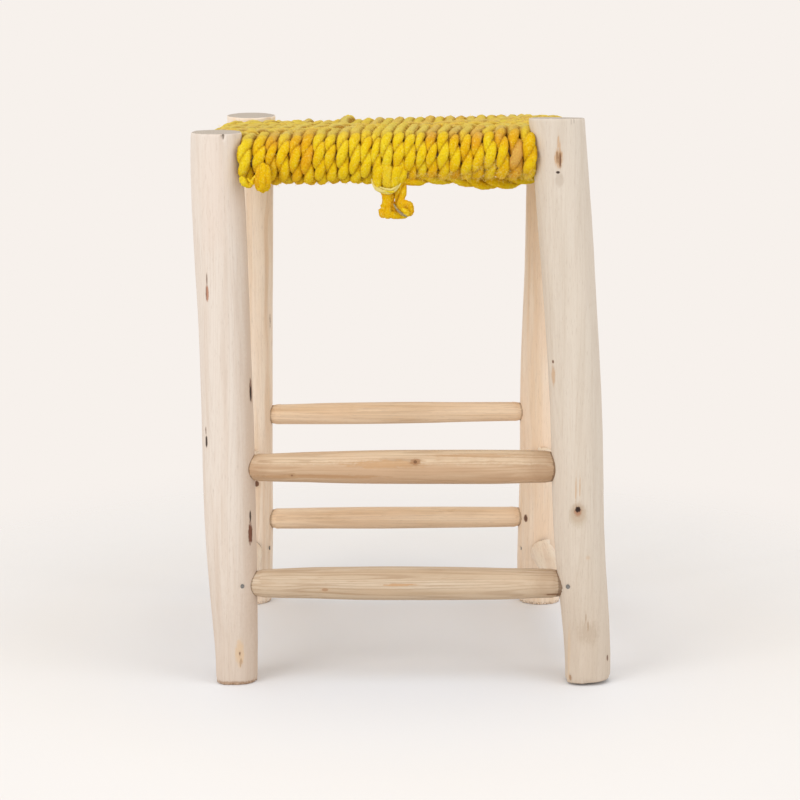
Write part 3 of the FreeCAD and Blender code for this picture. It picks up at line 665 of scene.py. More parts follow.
# From how far inside its rail a turn moves over to its own place on it, until where.
TO_PLACE = (0.030, 0.004)
# The turns spread a little round the outside of the rail.
FAN = 0.03
# How many pitches the middle turn of an odd winding stops short of the seat's middle.
MIDDLE_SHORT = 0.8


def seat_point(side, along, depth, height):
    """A point given by its place along a seat rail, how far it is inside the rail's centre
    line and how far above it."""
    run, out = WAYS[side]
    reach = HALF_SPAN - depth
    x, y = [run[axis] * along + out[axis] * reach for axis in (0, 1)]
    return SEAT @ Vector((x, y, height))


def corner_gap(side, rank):
    """How far from the corner one of a rail's turns lies, given its rank from there."""
    return HALF_SPAN - ((TURNS[side] - 1) / 2 - rank) * PITCH[side]


def half_turn(pitch, dive):
    """The upper half of one turn, from inside the seat out to the rail, as (depth, height)."""
    route = [(dive + inside * pitch, height) for inside, height in DIVE]
    last = route[-1][0]
    count = max(1, round(last / TOP_STEP))
    route += [(last * (1 - step / count), ROPE_ROUND_RAIL) for step in range(1, count)]
    return route


def rail_arc():
    """The points that lead a turn round the outside of its rail, as (depth, height)."""
    reach = ROPE_ROUND_RAIL / math.cos(math.pi / 8)
    angles = [math.radians(angle) for angle in ARC_ANGLES]
    return [(-reach * math.cos(angle), reach * math.sin(angle)) for angle in angles]


def wrap_places(side):
    """Where each turn lies on its rail and how thick its rope is beside the others."""
    turns, pitch = TURNS[side], PITCH[side]
    if side == "front":
        widths = [wrap[0] for wrap in FRONT_WRAPS]
    else:
        chance = random.Random(turns + len(side))
        widths = [chance.uniform(*OTHER_WIDTHS) for _ in range(turns)]
    unit = turns * pitch / sum(widths)
    places = []
    for turn, width in enumerate(widths):
        places.append((sum(widths[:turn]) + width / 2) * unit - turns * pitch / 2)
    if side == "front":
        places[0] -= FIRST_WRAP_ASIDE
    return places, [1 + GIRTH_FOR_WIDTH * (width * unit / pitch - 1) for width in widths]


def wrap_dye(side, turn, chance):
    """The dye along one turn, from the three dyes at its rail."""
    if side == "front":
        top, middle, foot = FRONT_WRAPS[turn][2:]
    else:
        top, middle, foot = [chance.choice(OTHER_DYES) for _ in range(3)]
    heights = [share * ROPE_ROUND_RAIL for share in DYE_HEIGHTS]

    def dye(point):
        height = (UNSEAT @ Vector(point)).z
        return float(np.interp(height, heights, (foot, middle, top)))

    return dye


def wrap_wear_and_sheen(side, edges, chance):
    """How worn one turn is on top of the seat, inside its rail; the same share gives its painted
    grazing sheen and shade there.
    """
    full = chance.uniform(*WEAR_AND_SHEEN)
    out = Vector((*WAYS[side][1], 0.0))

    def wear_and_sheen(point):
        local = UNSEAT @ Vector(point)
        inside = smoothed(HALF_SPAN - local.dot(out), *edges)
        return full * inside * smoothed(local.z, 0.0, WORN_AND_SHEEN_HEIGHT)

    return wear_and_sheen


def turn_route(side, turn):
    """One turn's route as (depth, height), over its rail and back below the seat, and its
    place along the rail if all the turns were even."""
    turns, pitch = TURNS[side], PITCH[side]
    neighbour = "right" if side in ("front", "back") else "front"
    even = (turn - (turns - 1) / 2) * pitch
    rank = min(turn, turns - 1 - turn)
    middle = turns % 2 and rank == turns // 2
    depth = HALF_SPAN - MIDDLE_SHORT * pitch if middle else corner_gap(neighbour, rank)
    over = even < 0 and not middle
    upper = half_turn(pitch, depth + (pitch if over else 0))
    lower = half_turn(pitch, depth + (0 if over or middle else pitch))
    return even, upper + rail_arc() + [(deep, -high) for deep, high in reversed(lower)]


def wind_side(side, seed):
    """One of the seat's four triangles, turn after turn along its rail."""
    chance = random.Random(seed)
    places, girths = wrap_places(side)
    spread, raised = RAIL_BULGE.get(side, (0.0, 0.0))
    sideways = SEAT.to_3x3() @ Vector((*WAYS[side][0], 0.0))
    rope = Rope()
    for turn in range(TURNS[side]):
        even, route = turn_route(side, turn)
        lift = chance.uniform(*LIFTS) * SIDE_LIFTS[side]
        lumpy = side == "back" and turn == LUMPY_TURN
        wear_and_sheen = wrap_wear_and_sheen(side, LUMP_EDGES if lumpy else WORN_AND_SHEEN_EDGES[side], chance)
        if side == "front":
            lift += PROUD * math.exp(-((turn - PROUD_TURN) / PROUD_WIDTH) ** 2)
        if lumpy:
            lift, girths[turn] = LUMP_LIFT, LUMP_GIRTH
        points = []
        for deep, high in route:
            near = smoothed(deep, *TO_PLACE)
            fanned = 1 + FAN * max(0.0, -deep) / ROPE_ROUND_RAIL
            aside = (even + (places[turn] - even) * near) * fanned + chance.uniform(-PLAY, PLAY)
            grown = 1 + (lift + chance.uniform(-PLAY, PLAY)) / ROPE_ROUND_RAIL
            if lumpy:
                grown -= lift / ROPE_ROUND_RAIL * smoothed(high, *LUMP_FOOT)
            if side == "front" and high < FLAT_BELOW and aside > FLAT_FROM:
                grown -= FLATTENED
            pushed = spread * smoothed(-aside, *BULGE_ALONG)
            out = (deep if deep > 0 else deep * grown) - pushed * near
            points.append(seat_point(side, aside, out, high * grown + raised * near))
        crossing = None
        if side == "front":
            height = FRONT_WRAPS[turn][1] * MM
            out = -math.sqrt(ROPE_ROUND_RAIL ** 2 - height ** 2)
            crossing = (seat_point(side, places[turn], out, height), sideways)
        rope.add(
            points, phase=chance.uniform(0, math.tau), girth=girths[turn],
            lay=LAY * chance.uniform(*LAYS), dye=wrap_dye(side, turn, chance), worn_and_sheen=wear_and_sheen,
            seed=seed * 40 + turn, crossing=crossing, lane=sideways,
        )
    piece = rope.make(side + "_winding")
    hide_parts("seat_cord_" + side)
    return piece


windings = {name: wind_side(name, number + 1) for number, name in enumerate(WAYS)}


# Stray fibres of the rope

# A fibre's radius, its straight pieces, and how deep in the rope it starts.
FIBRE_RADIUS = 0.00007
FIBRE_JOINTS = 4
FIBRE_ROOT = 0.0003
# How much of the longest a fibre is, and how far it turns at its root and at each joint.
FIBRE_LENGTHS = (0.3, 1.0)
ROOT_TURN, JOINT_TURN = 1.6, 0.6
# The outside of a winding: nothing below this height in the seat's frame, and nothing nearer
# to the rail's middle than this.
OUTSIDE_FROM, OUTSIDE_REACH = -0.021, 0.0172
# The front's frayed foot: from where along it, and up to which height, and a patch above it.
FRAYED_FROM, FRAYED_UP_TO = -0.01, -0.0115
PATCH_ALONG, PATCH_HEIGHT, PATCH_SIZE, PATCH_FLATTER = 0.078, -0.0090, 0.010, 1.3


def fibre_finish():
    material, tree, shader = new_material("stray cotton fibres")
    spot = place(tree, "ShaderNodeTexCoord").outputs["Object"]
    tint = cloudy(tree, spot, 300.0, 2.0)
    colour = mixed(tree, faded(tree, tint, 0.35, 0.65), paint(255, 212, 50), paint(255, 234, 140))
    feed(tree, shader["Base Color"], colour)
    shader["Roughness"].default_value = 1.0
    shader["Specular IOR Level"].default_value = 0.0
    return material


fibre_material = fibre_finish()


def on_outside(side, face):
    """Whether a face lies on the outside of its winding."""
    seat = UNSEAT @ face.center
    out = WAYS[side][1]
    beyond = max(seat.x * out[0] + seat.y * out[1] - HALF_SPAN, 0.0)
    reach = max(seat.z, math.hypot(beyond, seat.z))
    return seat.z > OUTSIDE_FROM and reach > OUTSIDE_REACH


def on_lower_edge(side, face):
    """Whether a face lies where the front's foot has frayed most."""
    seat = UNSEAT @ face.center
    ahead = seat.x > FRAYED_FROM and seat.y < -HALF_SPAN
    frayed = ahead and OUTSIDE_FROM < seat.z < FRAYED_UP_TO
    above = (seat.z - PATCH_HEIGHT) * PATCH_FLATTER
    patch = math.hypot(seat.x - PATCH_ALONG, above) < PATCH_SIZE
    return on_outside(side, face) and (frayed or patch)


def any_way(chance):
    return Vector([chance.uniform(-1, 1) for _ in range(3)])


def stray_fibres(name, side, where, count, longest, seed):
    """Fine fibres on those of one winding's faces that a test of side and face picks."""
    chance = random.Random(seed)
    data = new_curve(name, FIBRE_RADIUS)
    faces = [face for face in windings[side].data.polygons if where(side, face)]
    for _ in range(count):
        face = faces[chance.randrange(len(faces))]
        length = chance.uniform(*FIBRE_LENGTHS) * longest
        way = face.normal + ROOT_TURN * any_way(chance)
        spline = data.splines.new("POLY")
        spline.points.add(FIBRE_JOINTS)
        here = face.center - face.normal * FIBRE_ROOT
        for control in spline.points:
            control.co = (*here, 1.0)
            way = way.normalized() + JOINT_TURN * any_way(chance)
            here = here + way.normalized() * length / FIBRE_JOINTS
    piece = new_piece(name, curve_mesh(data, name), fibre_material)


stray_fibres("front_fibres", "front", on_outside, 4200, 0.0040, 21)
stray_fibres("front_foot_fibres", "front", on_lower_edge, 1900, 0.0062, 25)
stray_fibres("left_fibres", "left", on_outside, 1800, 0.0044, 22)
stray_fibres("back_fibres", "back", on_outside, 2000, 0.0040, 23)
stray_fibres("right_fibres", "right", on_outside, 1800, 0.0040, 24)


# Wood

RINGS_PER_METRE = 520


def end_grain_group():
    """Growth rings and their mask, on faces sawn across the grain."""
    group, given, out = new_group(
        "end grain",
        (("Vector", "NodeSocketVector"), ("Along", "NodeSocketVector")),
        (("Mask", "NodeSocketFloat"), ("Rings", "NodeSocketFloat")),
    )
    normal = group.nodes.new("ShaderNodeNewGeometry").outputs["Normal"]
    facing = maths(group, "ABSOLUTE", vectors(group, "DOT_PRODUCT", normal, given["Along"]))
    feed(group, out["Mask"], faded(group, facing, 0.75, 0.92))
    flat = vectors(group, "MULTIPLY", given["Vector"], (1.0, 1.0, 0.0))
    radius = vectors(group, "LENGTH", flat)
    wobble = cloudy(group, flat, 60.0, 2.0)
    rings = maths(group, "MULTIPLY_ADD", wobble, 0.006, radius)
    waves = maths(group, "SINE", maths(group, "MULTIPLY", rings, math.tau * RINGS_PER_METRE))
    feed(group, out["Rings"], maths(group, "MULTIPLY_ADD", waves, 0.5, 0.5))
    return group


def pole_grain_group():
    """Streaks along a peeled pole. The vector's Z runs along the pole."""
    group, given, out = new_group(
        "pole grain",
        (("Vector", "NodeSocketVector"), ("Seed", "NodeSocketFloat")),
        (
            ("Streak", "NodeSocketFloat"), ("Band", "NodeSocketFloat"),
            ("Blush", "NodeSocketFloat"), ("Lines", "NodeSocketFloat"),
            ("Height", "NodeSocketFloat"),
        ),
    )
    moved = vectors(group, "ADD", given["Vector"], given["Seed"])
    wander = cloudy(group, stretched(group, moved, (30.0, 30.0, 7.0)), 1.0, 2.0)
    aside = place(group, "ShaderNodeCombineXYZ", X=wander, Y=wander).outputs[0]
    aside = vectors(group, "MULTIPLY", aside, (0.012, 0.012, 0.0))
    pushed = vectors(group, "ADD", moved, aside)
    streak = cloudy(group, stretched(group, pushed, (900.0, 900.0, 14.0)), 1.0, 3.0, 0.6)
    band = cloudy(group, stretched(group, pushed, (130.0, 130.0, 5.0)), 1.0, 3.0, 0.55)
    smooth = cloudy(group, stretched(group, given["Vector"], (90.0, 90.0, 2.6)), 1.0, 1.0, 0.3)
    waves = maths(group, "SINE", maths(group, "MULTIPLY", smooth, 58.0))
    feed(group, out["Lines"], faded(group, waves, 0.1, 1.0))
    blush = cloudy(group, stretched(group, moved, (34.0, 34.0, 11.0)), 1.0, 2.0)
    feed(group, out["Streak"], streak)
    feed(group, out["Band"], band)
    feed(group, out["Blush"], blush)
    fine = cloudy(group, stretched(group, moved, (1600.0, 1600.0, 160.0)), 1.0, 2.0)
    fine = maths(group, "MULTIPLY", fine, 0.3)
    feed(group, out["Height"], maths(group, "MULTIPLY_ADD", streak, 0.7, fine))
    return group


def mark_group():
    """A mark in the wood: 1 in its core, fading through a halo round it, its edge frayed
    along the grain by the feathers."""
    group, given, out = new_group(
        "wood mark",
        (
            ("Vector", "NodeSocketVector"), ("Centre", "NodeSocketVector"),
            ("Radii", "NodeSocketVector"), ("Reach", "NodeSocketFloat"),
            ("Fray", "NodeSocketFloat"), ("Feathers", "NodeSocketFloat"),
        ),
        (("Core", "NodeSocketFloat"), ("Halo", "NodeSocketFloat")),
    )
    apart = vectors(group, "SUBTRACT", given["Vector"], given["Centre"])
    scaled = vectors(group, "DIVIDE", apart, given["Radii"])
    wobble = maths(group, "SUBTRACT", cloudy(group, given["Vector"], 420.0, 3.0), 0.5)
    distance = maths(group, "MULTIPLY_ADD", wobble, 0.6, vectors(group, "LENGTH", scaled))
    feathers = maths(group, "SUBTRACT", given["Feathers"], 0.5)
    distance = maths(group, "MULTIPLY_ADD", feathers, given["Fray"], distance)
    feed(group, out["Core"], faded(group, distance, 1.15, 0.75))
    share = maths(group, "DIVIDE", distance, given["Reach"])
    waves = maths(group, "SINE", maths(group, "MULTIPLY", distance, 4.4))
    ringed = maths(group, "MULTIPLY_ADD", waves, 0.18, 0.82)
    halo = maths(group, "MULTIPLY", faded(group, share, 1.0, 0.25), ringed)
    feed(group, out["Halo"], halo)
    return group


def socket_shade_group():
    """A thin line of painted shade in the gap where a rung enters its leg, given the leg's centre
    and radius.
    """
    group, given, out = new_group(
        "socket line",
        (
            ("Vector", "NodeSocketVector"), ("Centre", "NodeSocketVector"),
            ("Radius", "NodeSocketFloat"),
        ),
        (("Line", "NodeSocketFloat"),),
    )
    apart = vectors(group, "SUBTRACT", given["Vector"], given["Centre"])
    flat = vectors(group, "LENGTH", vectors(group, "MULTIPLY", apart, (1.0, 1.0, 0.0)))
    beyond = maths(group, "SUBTRACT", flat, given["Radius"])
    wobble = cloudy(group, given["Vector"], 500.0, 3.0)
    beyond = maths(group, "MULTIPLY_ADD", maths(group, "SUBTRACT", wobble, 0.5), 0.0022, beyond)
    feed(group, out["Line"], faded(group, beyond, 0.0013, 0.0004))
    return group


end_grain = end_grain_group()
pole_grain = pole_grain_group()
wood_mark = mark_group()
socket_shade_line = socket_shade_group()

# The turn that lays each axis along the grain's Z, and that axis as a direction.
ACROSS = {"x": (0.0, -math.pi / 2, 0.0), "y": (math.pi / 2, 0.0, 0.0), "z": (0.0, 0.0, 0.0)}
ALONG = {"x": (1.0, 0.0, 0.0), "y": (0.0, 1.0, 0.0), "z": (0.0, 0.0, 1.0)}
STREAK_BROWN = paint(170, 128, 92)
LINE_BROWN = paint(146, 106, 70)
SCRATCH_BROWN = paint(160, 134, 112)
SAWN_PALE, SAWN_DARK = paint(197, 185, 170), paint(176, 161, 145)
SOCKET_SHADE_BROWN = paint(96, 70, 48)
FOOT_BROWN = paint(140, 104, 72)


def in_metres(point):
    return tuple(part * MM for part in point)


def wood_finish(name, runs, middle, tints, seed, streaks, marks=(), lines=0.0, sockets=(),
                socket_shade=0.0):
    """Peeled wood, its grain along one axis and its tints pale, deep and a blush. A mark is
    its centre and radii in mm, the core's colour and share, the halo's colour, share and
    reach, and how frayed its edge is; marks are knots and stains, and some are painted shade.
    A socket is a centre in the leg and the leg's radius there, where a line of painted shade
    runs round the rung in the joint's gap."""
    pale, deep, blush = tints
    material, tree, shader = new_material(name)
    spot = place(tree, "ShaderNodeTexCoord").outputs["Object"]
    centred = vectors(tree, "SUBTRACT", spot, middle)
    laid = place(tree, "ShaderNodeMapping", Vector=centred, Rotation=ACROSS[runs])
    laid = laid.outputs["Vector"]
    grain = use_group(tree, pole_grain, Vector=laid, Seed=seed)
    colour = mixed(tree, faded(tree, grain["Band"], 0.38, 0.68), pale, deep)
    colour = tinted(tree, colour, faded(tree, grain["Streak"], 0.52, 0.78), streaks, STREAK_BROWN)
    colour = tinted(tree, colour, grain["Lines"], lines, LINE_BROWN)
    colour = tinted(tree, colour, faded(tree, grain["Blush"], 0.42, 0.7), 0.6, blush)
    feathers = cloudy(tree, stretched(tree, laid, (1500.0, 1500.0, 130.0)), 1.0, 3.0, 0.6)
    colour = tinted(tree, colour, faded(tree, feathers, 0.54, 0.72), 0.22, SCRATCH_BROWN)
    ends = use_group(tree, end_grain, Vector=laid, Along=ALONG[runs])
    sawn = mixed(tree, ends["Rings"], SAWN_PALE, SAWN_DARK)
    colour = mixed(tree, ends["Mask"], colour, sawn)
    height = grain["Height"]
    for centre, radii, core, core_share, halo, share, reach, fray in marks:
        mark = use_group(
            tree, wood_mark, Vector=spot, Centre=in_metres(centre), Radii=in_metres(radii),
            Reach=reach, Fray=fray, Feathers=feathers,
        )
        colour = tinted(tree, colour, mark["Halo"], share, halo)
        kernel = maths(tree, "MULTIPLY", mark["Core"], core_share)
        colour = mixed(tree, kernel, colour, core)
        height = maths(tree, "MULTIPLY_ADD", kernel, -1.5, height)
    # A line of painted shade round the rung, in the gap where it enters each leg.
    for centre, radius in sockets:
        line = use_group(tree, socket_shade_line, Vector=spot, Centre=centre, Radius=radius)["Line"]
        colour = tinted(tree, colour, line, socket_shade, SOCKET_SHADE_BROWN)
    if runs == "z":
        high = place(tree, "ShaderNodeSeparateXYZ", Vector=spot).outputs["Z"]
        specks = faded(tree, cloudy(tree, spot, 700.0, 3.0, 0.7), 0.50, 0.60)
        specks = maths(tree, "MULTIPLY", specks, faded(tree, high, 0.0034, 0.0006))
        colour = tinted(tree, colour, specks, 0.8, FOOT_BROWN)
    feed(tree, shader["Base Color"], colour)
    feed(tree, shader["Roughness"], maths(tree, "MULTIPLY_ADD", grain["Streak"], 0.2, 0.55))
    shader["Specular IOR Level"].default_value = 0.25
    feed(tree, shader["Normal"], bumped(tree, height, 0.35, 0.0006))
    return material


# The size of the even faces that the wood is cut into before it is shaped.
FACE_SIZE = 0.0012


def whittle(node, name, material, shape):
    """A closer model of a wooden CAD piece: its surface in even small faces, moved by
    shape(point, normal), and standing for the piece."""
    mesh = nodes[node].data.copy()
    surface = bmesh.new()
    surface.from_mesh(mesh)
    bmesh.ops.remove_doubles(surface, verts=surface.verts, dist=1e-6)
    surface.to_mesh(mesh)
    surface.free()
    blank = bpy.data.objects.new(name + "_blank", mesh)
    scene.collection.objects.link(blank)
    remesh = blank.modifiers.new("even faces", "REMESH")
    remesh.mode = "VOXEL"
    remesh.voxel_size = FACE_SIZE
    remesh.use_smooth_shade = True
    seen = blank.evaluated_get(bpy.context.evaluated_depsgraph_get())
    even = bpy.data.meshes.new_from_object(seen)
    bpy.data.objects.remove(blank)
    bpy.data.meshes.remove(mesh)
    even.name = name
    for vertex, normal in zip(even.vertices, [n.vector.copy() for n in even.vertex_normals]):
        vertex.co = shape(vertex.co.copy(), normal)
    piece = new_piece(name, even, material)
    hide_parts(node)
    return piece


def hollow(point, centre, radii):
    """1 at a mark's middle, falling to 0 at its edge."""
    apart = Vector(p - c for p, c in zip(point, centre))
    distance = Vector(a / r for a, r in zip(apart, radii)).length
    return max(0.0, 1 - distance)


# Legs

# Colours of the marks in the wood
BLACK = paint(50, 34, 28)
DARK = paint(108, 74, 56)
RED = paint(180, 128, 102)
BROWN = paint(156, 118, 84)
TAN = paint(204, 168, 132)
AMBER = paint(222, 188, 146)
GREY = paint(186, 172, 158)

# The marks of each leg, as wood_finish takes them: knots and stains, and some painted shade
LEG_MARKS_AND_SHADES = {
    "front_left": (
        # Painted shade down the leg's right side.
        ((-121, -138, 225), (9, 24, 270), TAN, 0.0, paint(204, 181, 160), 0.75, 1.7, 0.5),
        # Painted shade, darker towards the foot.
        ((-140, -140, 0), (60, 60, 100), TAN, 0.0, paint(196, 175, 156), 0.35, 1.6, 0.0),
        ((-142, -150.2, 446.8), (1.0, 3, 3.4), paint(120, 106, 92), 0.9, GREY, 0.3, 1.6, 0.3),
        ((-156.3, -150.2, 333), (0.5, 2, 5.6), DARK, 0.75, TAN, 0.2, 2.5, 0.6),
        ((-156, -150, 321.4), (1.2, 2.4, 6.6), RED, 0.9, DARK, 0.35, 1.4, 0.7),
        ((-157, -149.5, 321.4), (0.4, 1.2, 6.0), DARK, 0.7, DARK, 0.0, 1.0, 0.6),
        ((-123.2, -138.8, 241), (1.6, 3.2, 10.5), DARK, 0.8, TAN, 0.3, 1.6, 0.8),
        ((-123.1, -139.1, 239.4), (1.0, 2.0, 6.4), BLACK, 1.0, DARK, 0.0, 1.0, 0.6),
        ((-158.9, -145.6, 201), (1.3, 2.0, 5.0), BLACK, 0.95, TAN, 0.3, 1.8, 0.6),
        ((-159.2, -145.6, 210), (0.6, 1.6, 4.0), DARK, 0.8, TAN, 0.2, 1.8, 0.6),
        ((-153.5, -150.8, 161.6), (0.4, 1, 3), GREY, 0.8, GREY, 0.2, 2.0, 0.3),
        ((-123.8, -145.4, 139.6), (0.9, 1.8, 5), BLACK, 0.9, TAN, 0.2, 2.0, 0.6),
        ((-123.9, -146, 125.6), (2.2, 3.2, 9.2), paint(112, 66, 46), 0.95, TAN, 0.3, 1.4, 0.8),
        ((-122.9, -144.4, 125), (0.5, 1.2, 8.6), DARK, 0.8, DARK, 0.0, 1.0, 0.6),
        ((-133.1, -152, 27), (3.8, 4, 11), AMBER, 0.45, AMBER, 0.3, 1.5, 0.8),
        ((-133.1, -152, 26.2), (0.8, 1, 1.9), DARK, 0.85, BROWN, 0.3, 2.2, 0.5),
        ((-132.4, -152, 19), (1.4, 2, 3.4), BROWN, 0.4, TAN, 0.4, 1.6, 2.0),
        ((-137, -150, 1.4), (20, 12, 1.6), BROWN, 0.5, TAN, 0.3, 1.8, 2.4),
    ),
    "front_right": (
        # Painted shade, darker towards the foot.
        ((140, -140, 0), (60, 60, 90), TAN, 0.0, paint(192, 172, 152), 0.30, 1.6, 0.0),
        ((120.9, -162.8, 441.6), (0.7, 3, 6.0), TAN, 0.8, TAN, 0.3, 2.2, 1.2),
        ((122.2, -162.6, 438), (0.5, 3, 5.0), TAN, 0.8, TAN, 0.3, 2.2, 1.2),
        ((121.4, -162.5, 429.4), (3.3, 4, 7.6), TAN, 0.9, TAN, 0.45, 1.6, 1.2),
        ((122.4, -162.4, 428.4), (1.2, 3, 5.8), BROWN, 1.0, BROWN, 0.4, 1.6, 0.8),
        ((123.0, -162.4, 427.6), (0.5, 2, 5.2), DARK, 0.8, BROWN, 0.3, 1.6, 0.6),
        ((120.2, -162.4, 430), (0.7, 2, 5.0), BROWN, 0.8, BROWN, 0.3, 1.6, 1.0),
        ((121, -162, 418.4), (1.5, 2, 1.1), BLACK, 1.0, BROWN, 0.4, 1.6, 0.4),
        ((122.4, -161.8, 412.4), (3.6, 3, 5.4), paint(190, 172, 152), 0.4, GREY, 0.25, 1.6, 1.4),
        ((131, -161.2, 458), (0.35, 1.5, 2.6), GREY, 0.9, GREY, 0.2, 2.0, 0.4),
        ((133.3, -160, 458.2), (0.35, 1.5, 2.2), GREY, 0.9, GREY, 0.2, 2.0, 0.4),
        ((119.4, -150.1, 266.5), (0.8, 2, 1.5), DARK, 0.9, TAN, 0.3, 2.0, 0.4),
        ((119.7, -149.2, 254.6), (1.9, 3.4, 8), TAN, 0.6, TAN, 0.4, 1.5, 1.8),
        ((140.3, -157.8, 142.6), (7.4, 6, 10.0), paint(200, 184, 162), 0.6, GREY, 0.12, 1.25, 1.4),
        ((140.3, -157.8, 145), (3.0, 3, 4.4), TAN, 0.0, paint(182, 152, 124), 0.75, 2.6, 0.8),
        ((140.3, -157.8, 146.2), (2.8, 3, 3.6), RED, 0.55, BROWN, 0.8, 1.6, 1.4),
        ((140.3, -157.8, 147.6), (2.3, 3, 2.4), BLACK, 1.0, BROWN, 0.5, 1.6, 0.6),
        ((138.4, -158, 165), (0.45, 3, 9), TAN, 0.7, TAN, 0.3, 2.2, 2.0),
        ((141.6, -158, 166), (0.4, 3, 7), TAN, 0.7, TAN, 0.3, 2.2, 2.0),
        ((148.9, -156.4, 107.6), (1.6, 2, 1.6), TAN, 0.2, TAN, 0.2, 2.0, 0.8),
        ((150, -156, 44), (14, 6, 12), TAN, 0.0, paint(186, 166, 144), 0.6, 1.2, 2.4),
        ((136.6, -148, 6), (1.4, 3, 3), BROWN, 0.7, BROWN, 0.4, 1.8, 0.8),
        ((148, -155.3, 57), (0.35, 1.2, 5.6), BROWN, 0.8, TAN, 0.2, 2.0, 0.6),
        ((149.8, -154.8, 50.6), (0.35, 1.2, 4.4), BROWN, 0.8, TAN, 0.2, 2.0, 0.6),
        ((135.3, -145.3, 17), (0.5, 1.8, 17), BROWN, 0.75, AMBER, 0.5, 3.4, 0.5),
        ((166.8, -145.8, 21.4), (0.9, 1.4, 2.6), DARK, 0.8, BROWN, 0.3, 1.8, 0.5),
    ),
    "back_left": (
        ((-120.6, 124, 76.4), (2.0, 4, 2.6), DARK, 0.9, BROWN, 0.5, 1.6, 1.4),
        ((-134.6, 117.1, 114), (2.4, 2.4, 2.8), DARK, 0.95, BROWN, 0.5, 2.0, 0.6),
        ((-121.4, 128, 263), (0.7, 2.4, 8.5), DARK, 0.7, TAN, 0.3, 1.8, 0.6),
    ),
    "back_right": (
        ((113.1, 121, 81.0), (2.2, 2.8, 3.4), DARK, 0.95, RED, 0.6, 1.5, 0.8),
    ),
}
# Each leg's pale wood, deep wood and blush. The back legs' tints are paler than the front legs':
# painted light, standing in for light that reaches them less.
LEG_TINTS = {
    "front_left": (paint(226, 213, 200), paint(220, 204, 189), paint(224, 206, 191)),
    "front_right": (paint(219, 206, 190), paint(213, 199, 182), paint(216, 201, 184)),
    "back_left": (paint(246, 231, 214), paint(234, 210, 184), paint(238, 215, 191)),
    "back_right": (paint(244, 226, 206), paint(237, 212, 184), paint(240, 214, 188)),
}
# Each leg's middle line, and the seed of its grain and its unevenness.
LEG_MIDDLES = {
    "front_left": (-0.140, -0.134), "front_right": (0.138, -0.138),
    "back_left": (-0.140, 0.137), "back_right": (0.130, 0.134),
}
LEG_SEEDS = {"front_left": 1.3, "front_right": 4.1, "back_left": 7.7, "back_right": 9.9}
# Notches and chips cut out of the legs: centre, radii and depth in mm.
LEG_NOTCHES = {
    "front_left": (
        ((-142, -150.5, 448), (2.0, 5, 6.5), 3.2), ((-146, -153, 0), (3.5, 6, 2.4), 1.4),
        ((-132, -152, 0), (2.6, 6, 2.0), 1.2),
    ),
    "front_right": (
        ((133.2, -161, 461), (0.8, 4, 4), 1.2), ((131, -161.5, 461), (0.6, 4, 4), 1.0),
    ),
}
# How strongly the streaks and the lines of the grain show on a leg.
LEG_STREAKS, LEG_LINES = 0.16, 0.06
# How far wood stands out or in: broad bends, knife cuts, fibres, and a shaving all over.
BENDS, KNIFE_CUTS, LEG_FIBRES, SHAVING = 0.0006, 0.0005, 0.00012, 0.0001
# How deep a mark's core is dented where its colour is full.
KNOT_DENT = 0.0005
# The sawn ends: how far from the foot and from the top their wear goes, how far in, and how
# deep their chips are.
FOOT_WEAR, TOP_WEAR, END_ROUND, CHIP = 0.005, 0.004, 0.0003, 0.0022
# The front feet's hewn corners: up to which height they are full, where they end, how square
# they are, and how far out they stand at most.
HEWN_LOW, HEWN_HIGH, SQUARENESS, CORNER_LIMIT = 0.006, 0.045, 5, 1.16
# The slope of a foot's underside, from how far in, and how far up it fades.
FOOT_SLANTS = {"front_right": 0.06}
SLANT_FROM, SLANT_HIGH = 0.018, 0.030


def hewn_corner(point, middle, hewn):
    """A point of a front foot, moved out by its share where the front left corner is hewn."""
    aside, ahead = point.x - middle.x, point.y - middle.y
    size = math.hypot(aside, ahead)
    if aside < 0 and ahead < 0 and hewn > 0:
        powers = abs(aside / size) ** SQUARENESS + abs(ahead / size) ** SQUARENESS
        grown = 1 + (min(powers ** (-1 / SQUARENESS), CORNER_LIMIT) - 1) * hewn
        return Vector((middle.x + aside * grown, middle.y + ahead * grown, point.z))
    return point


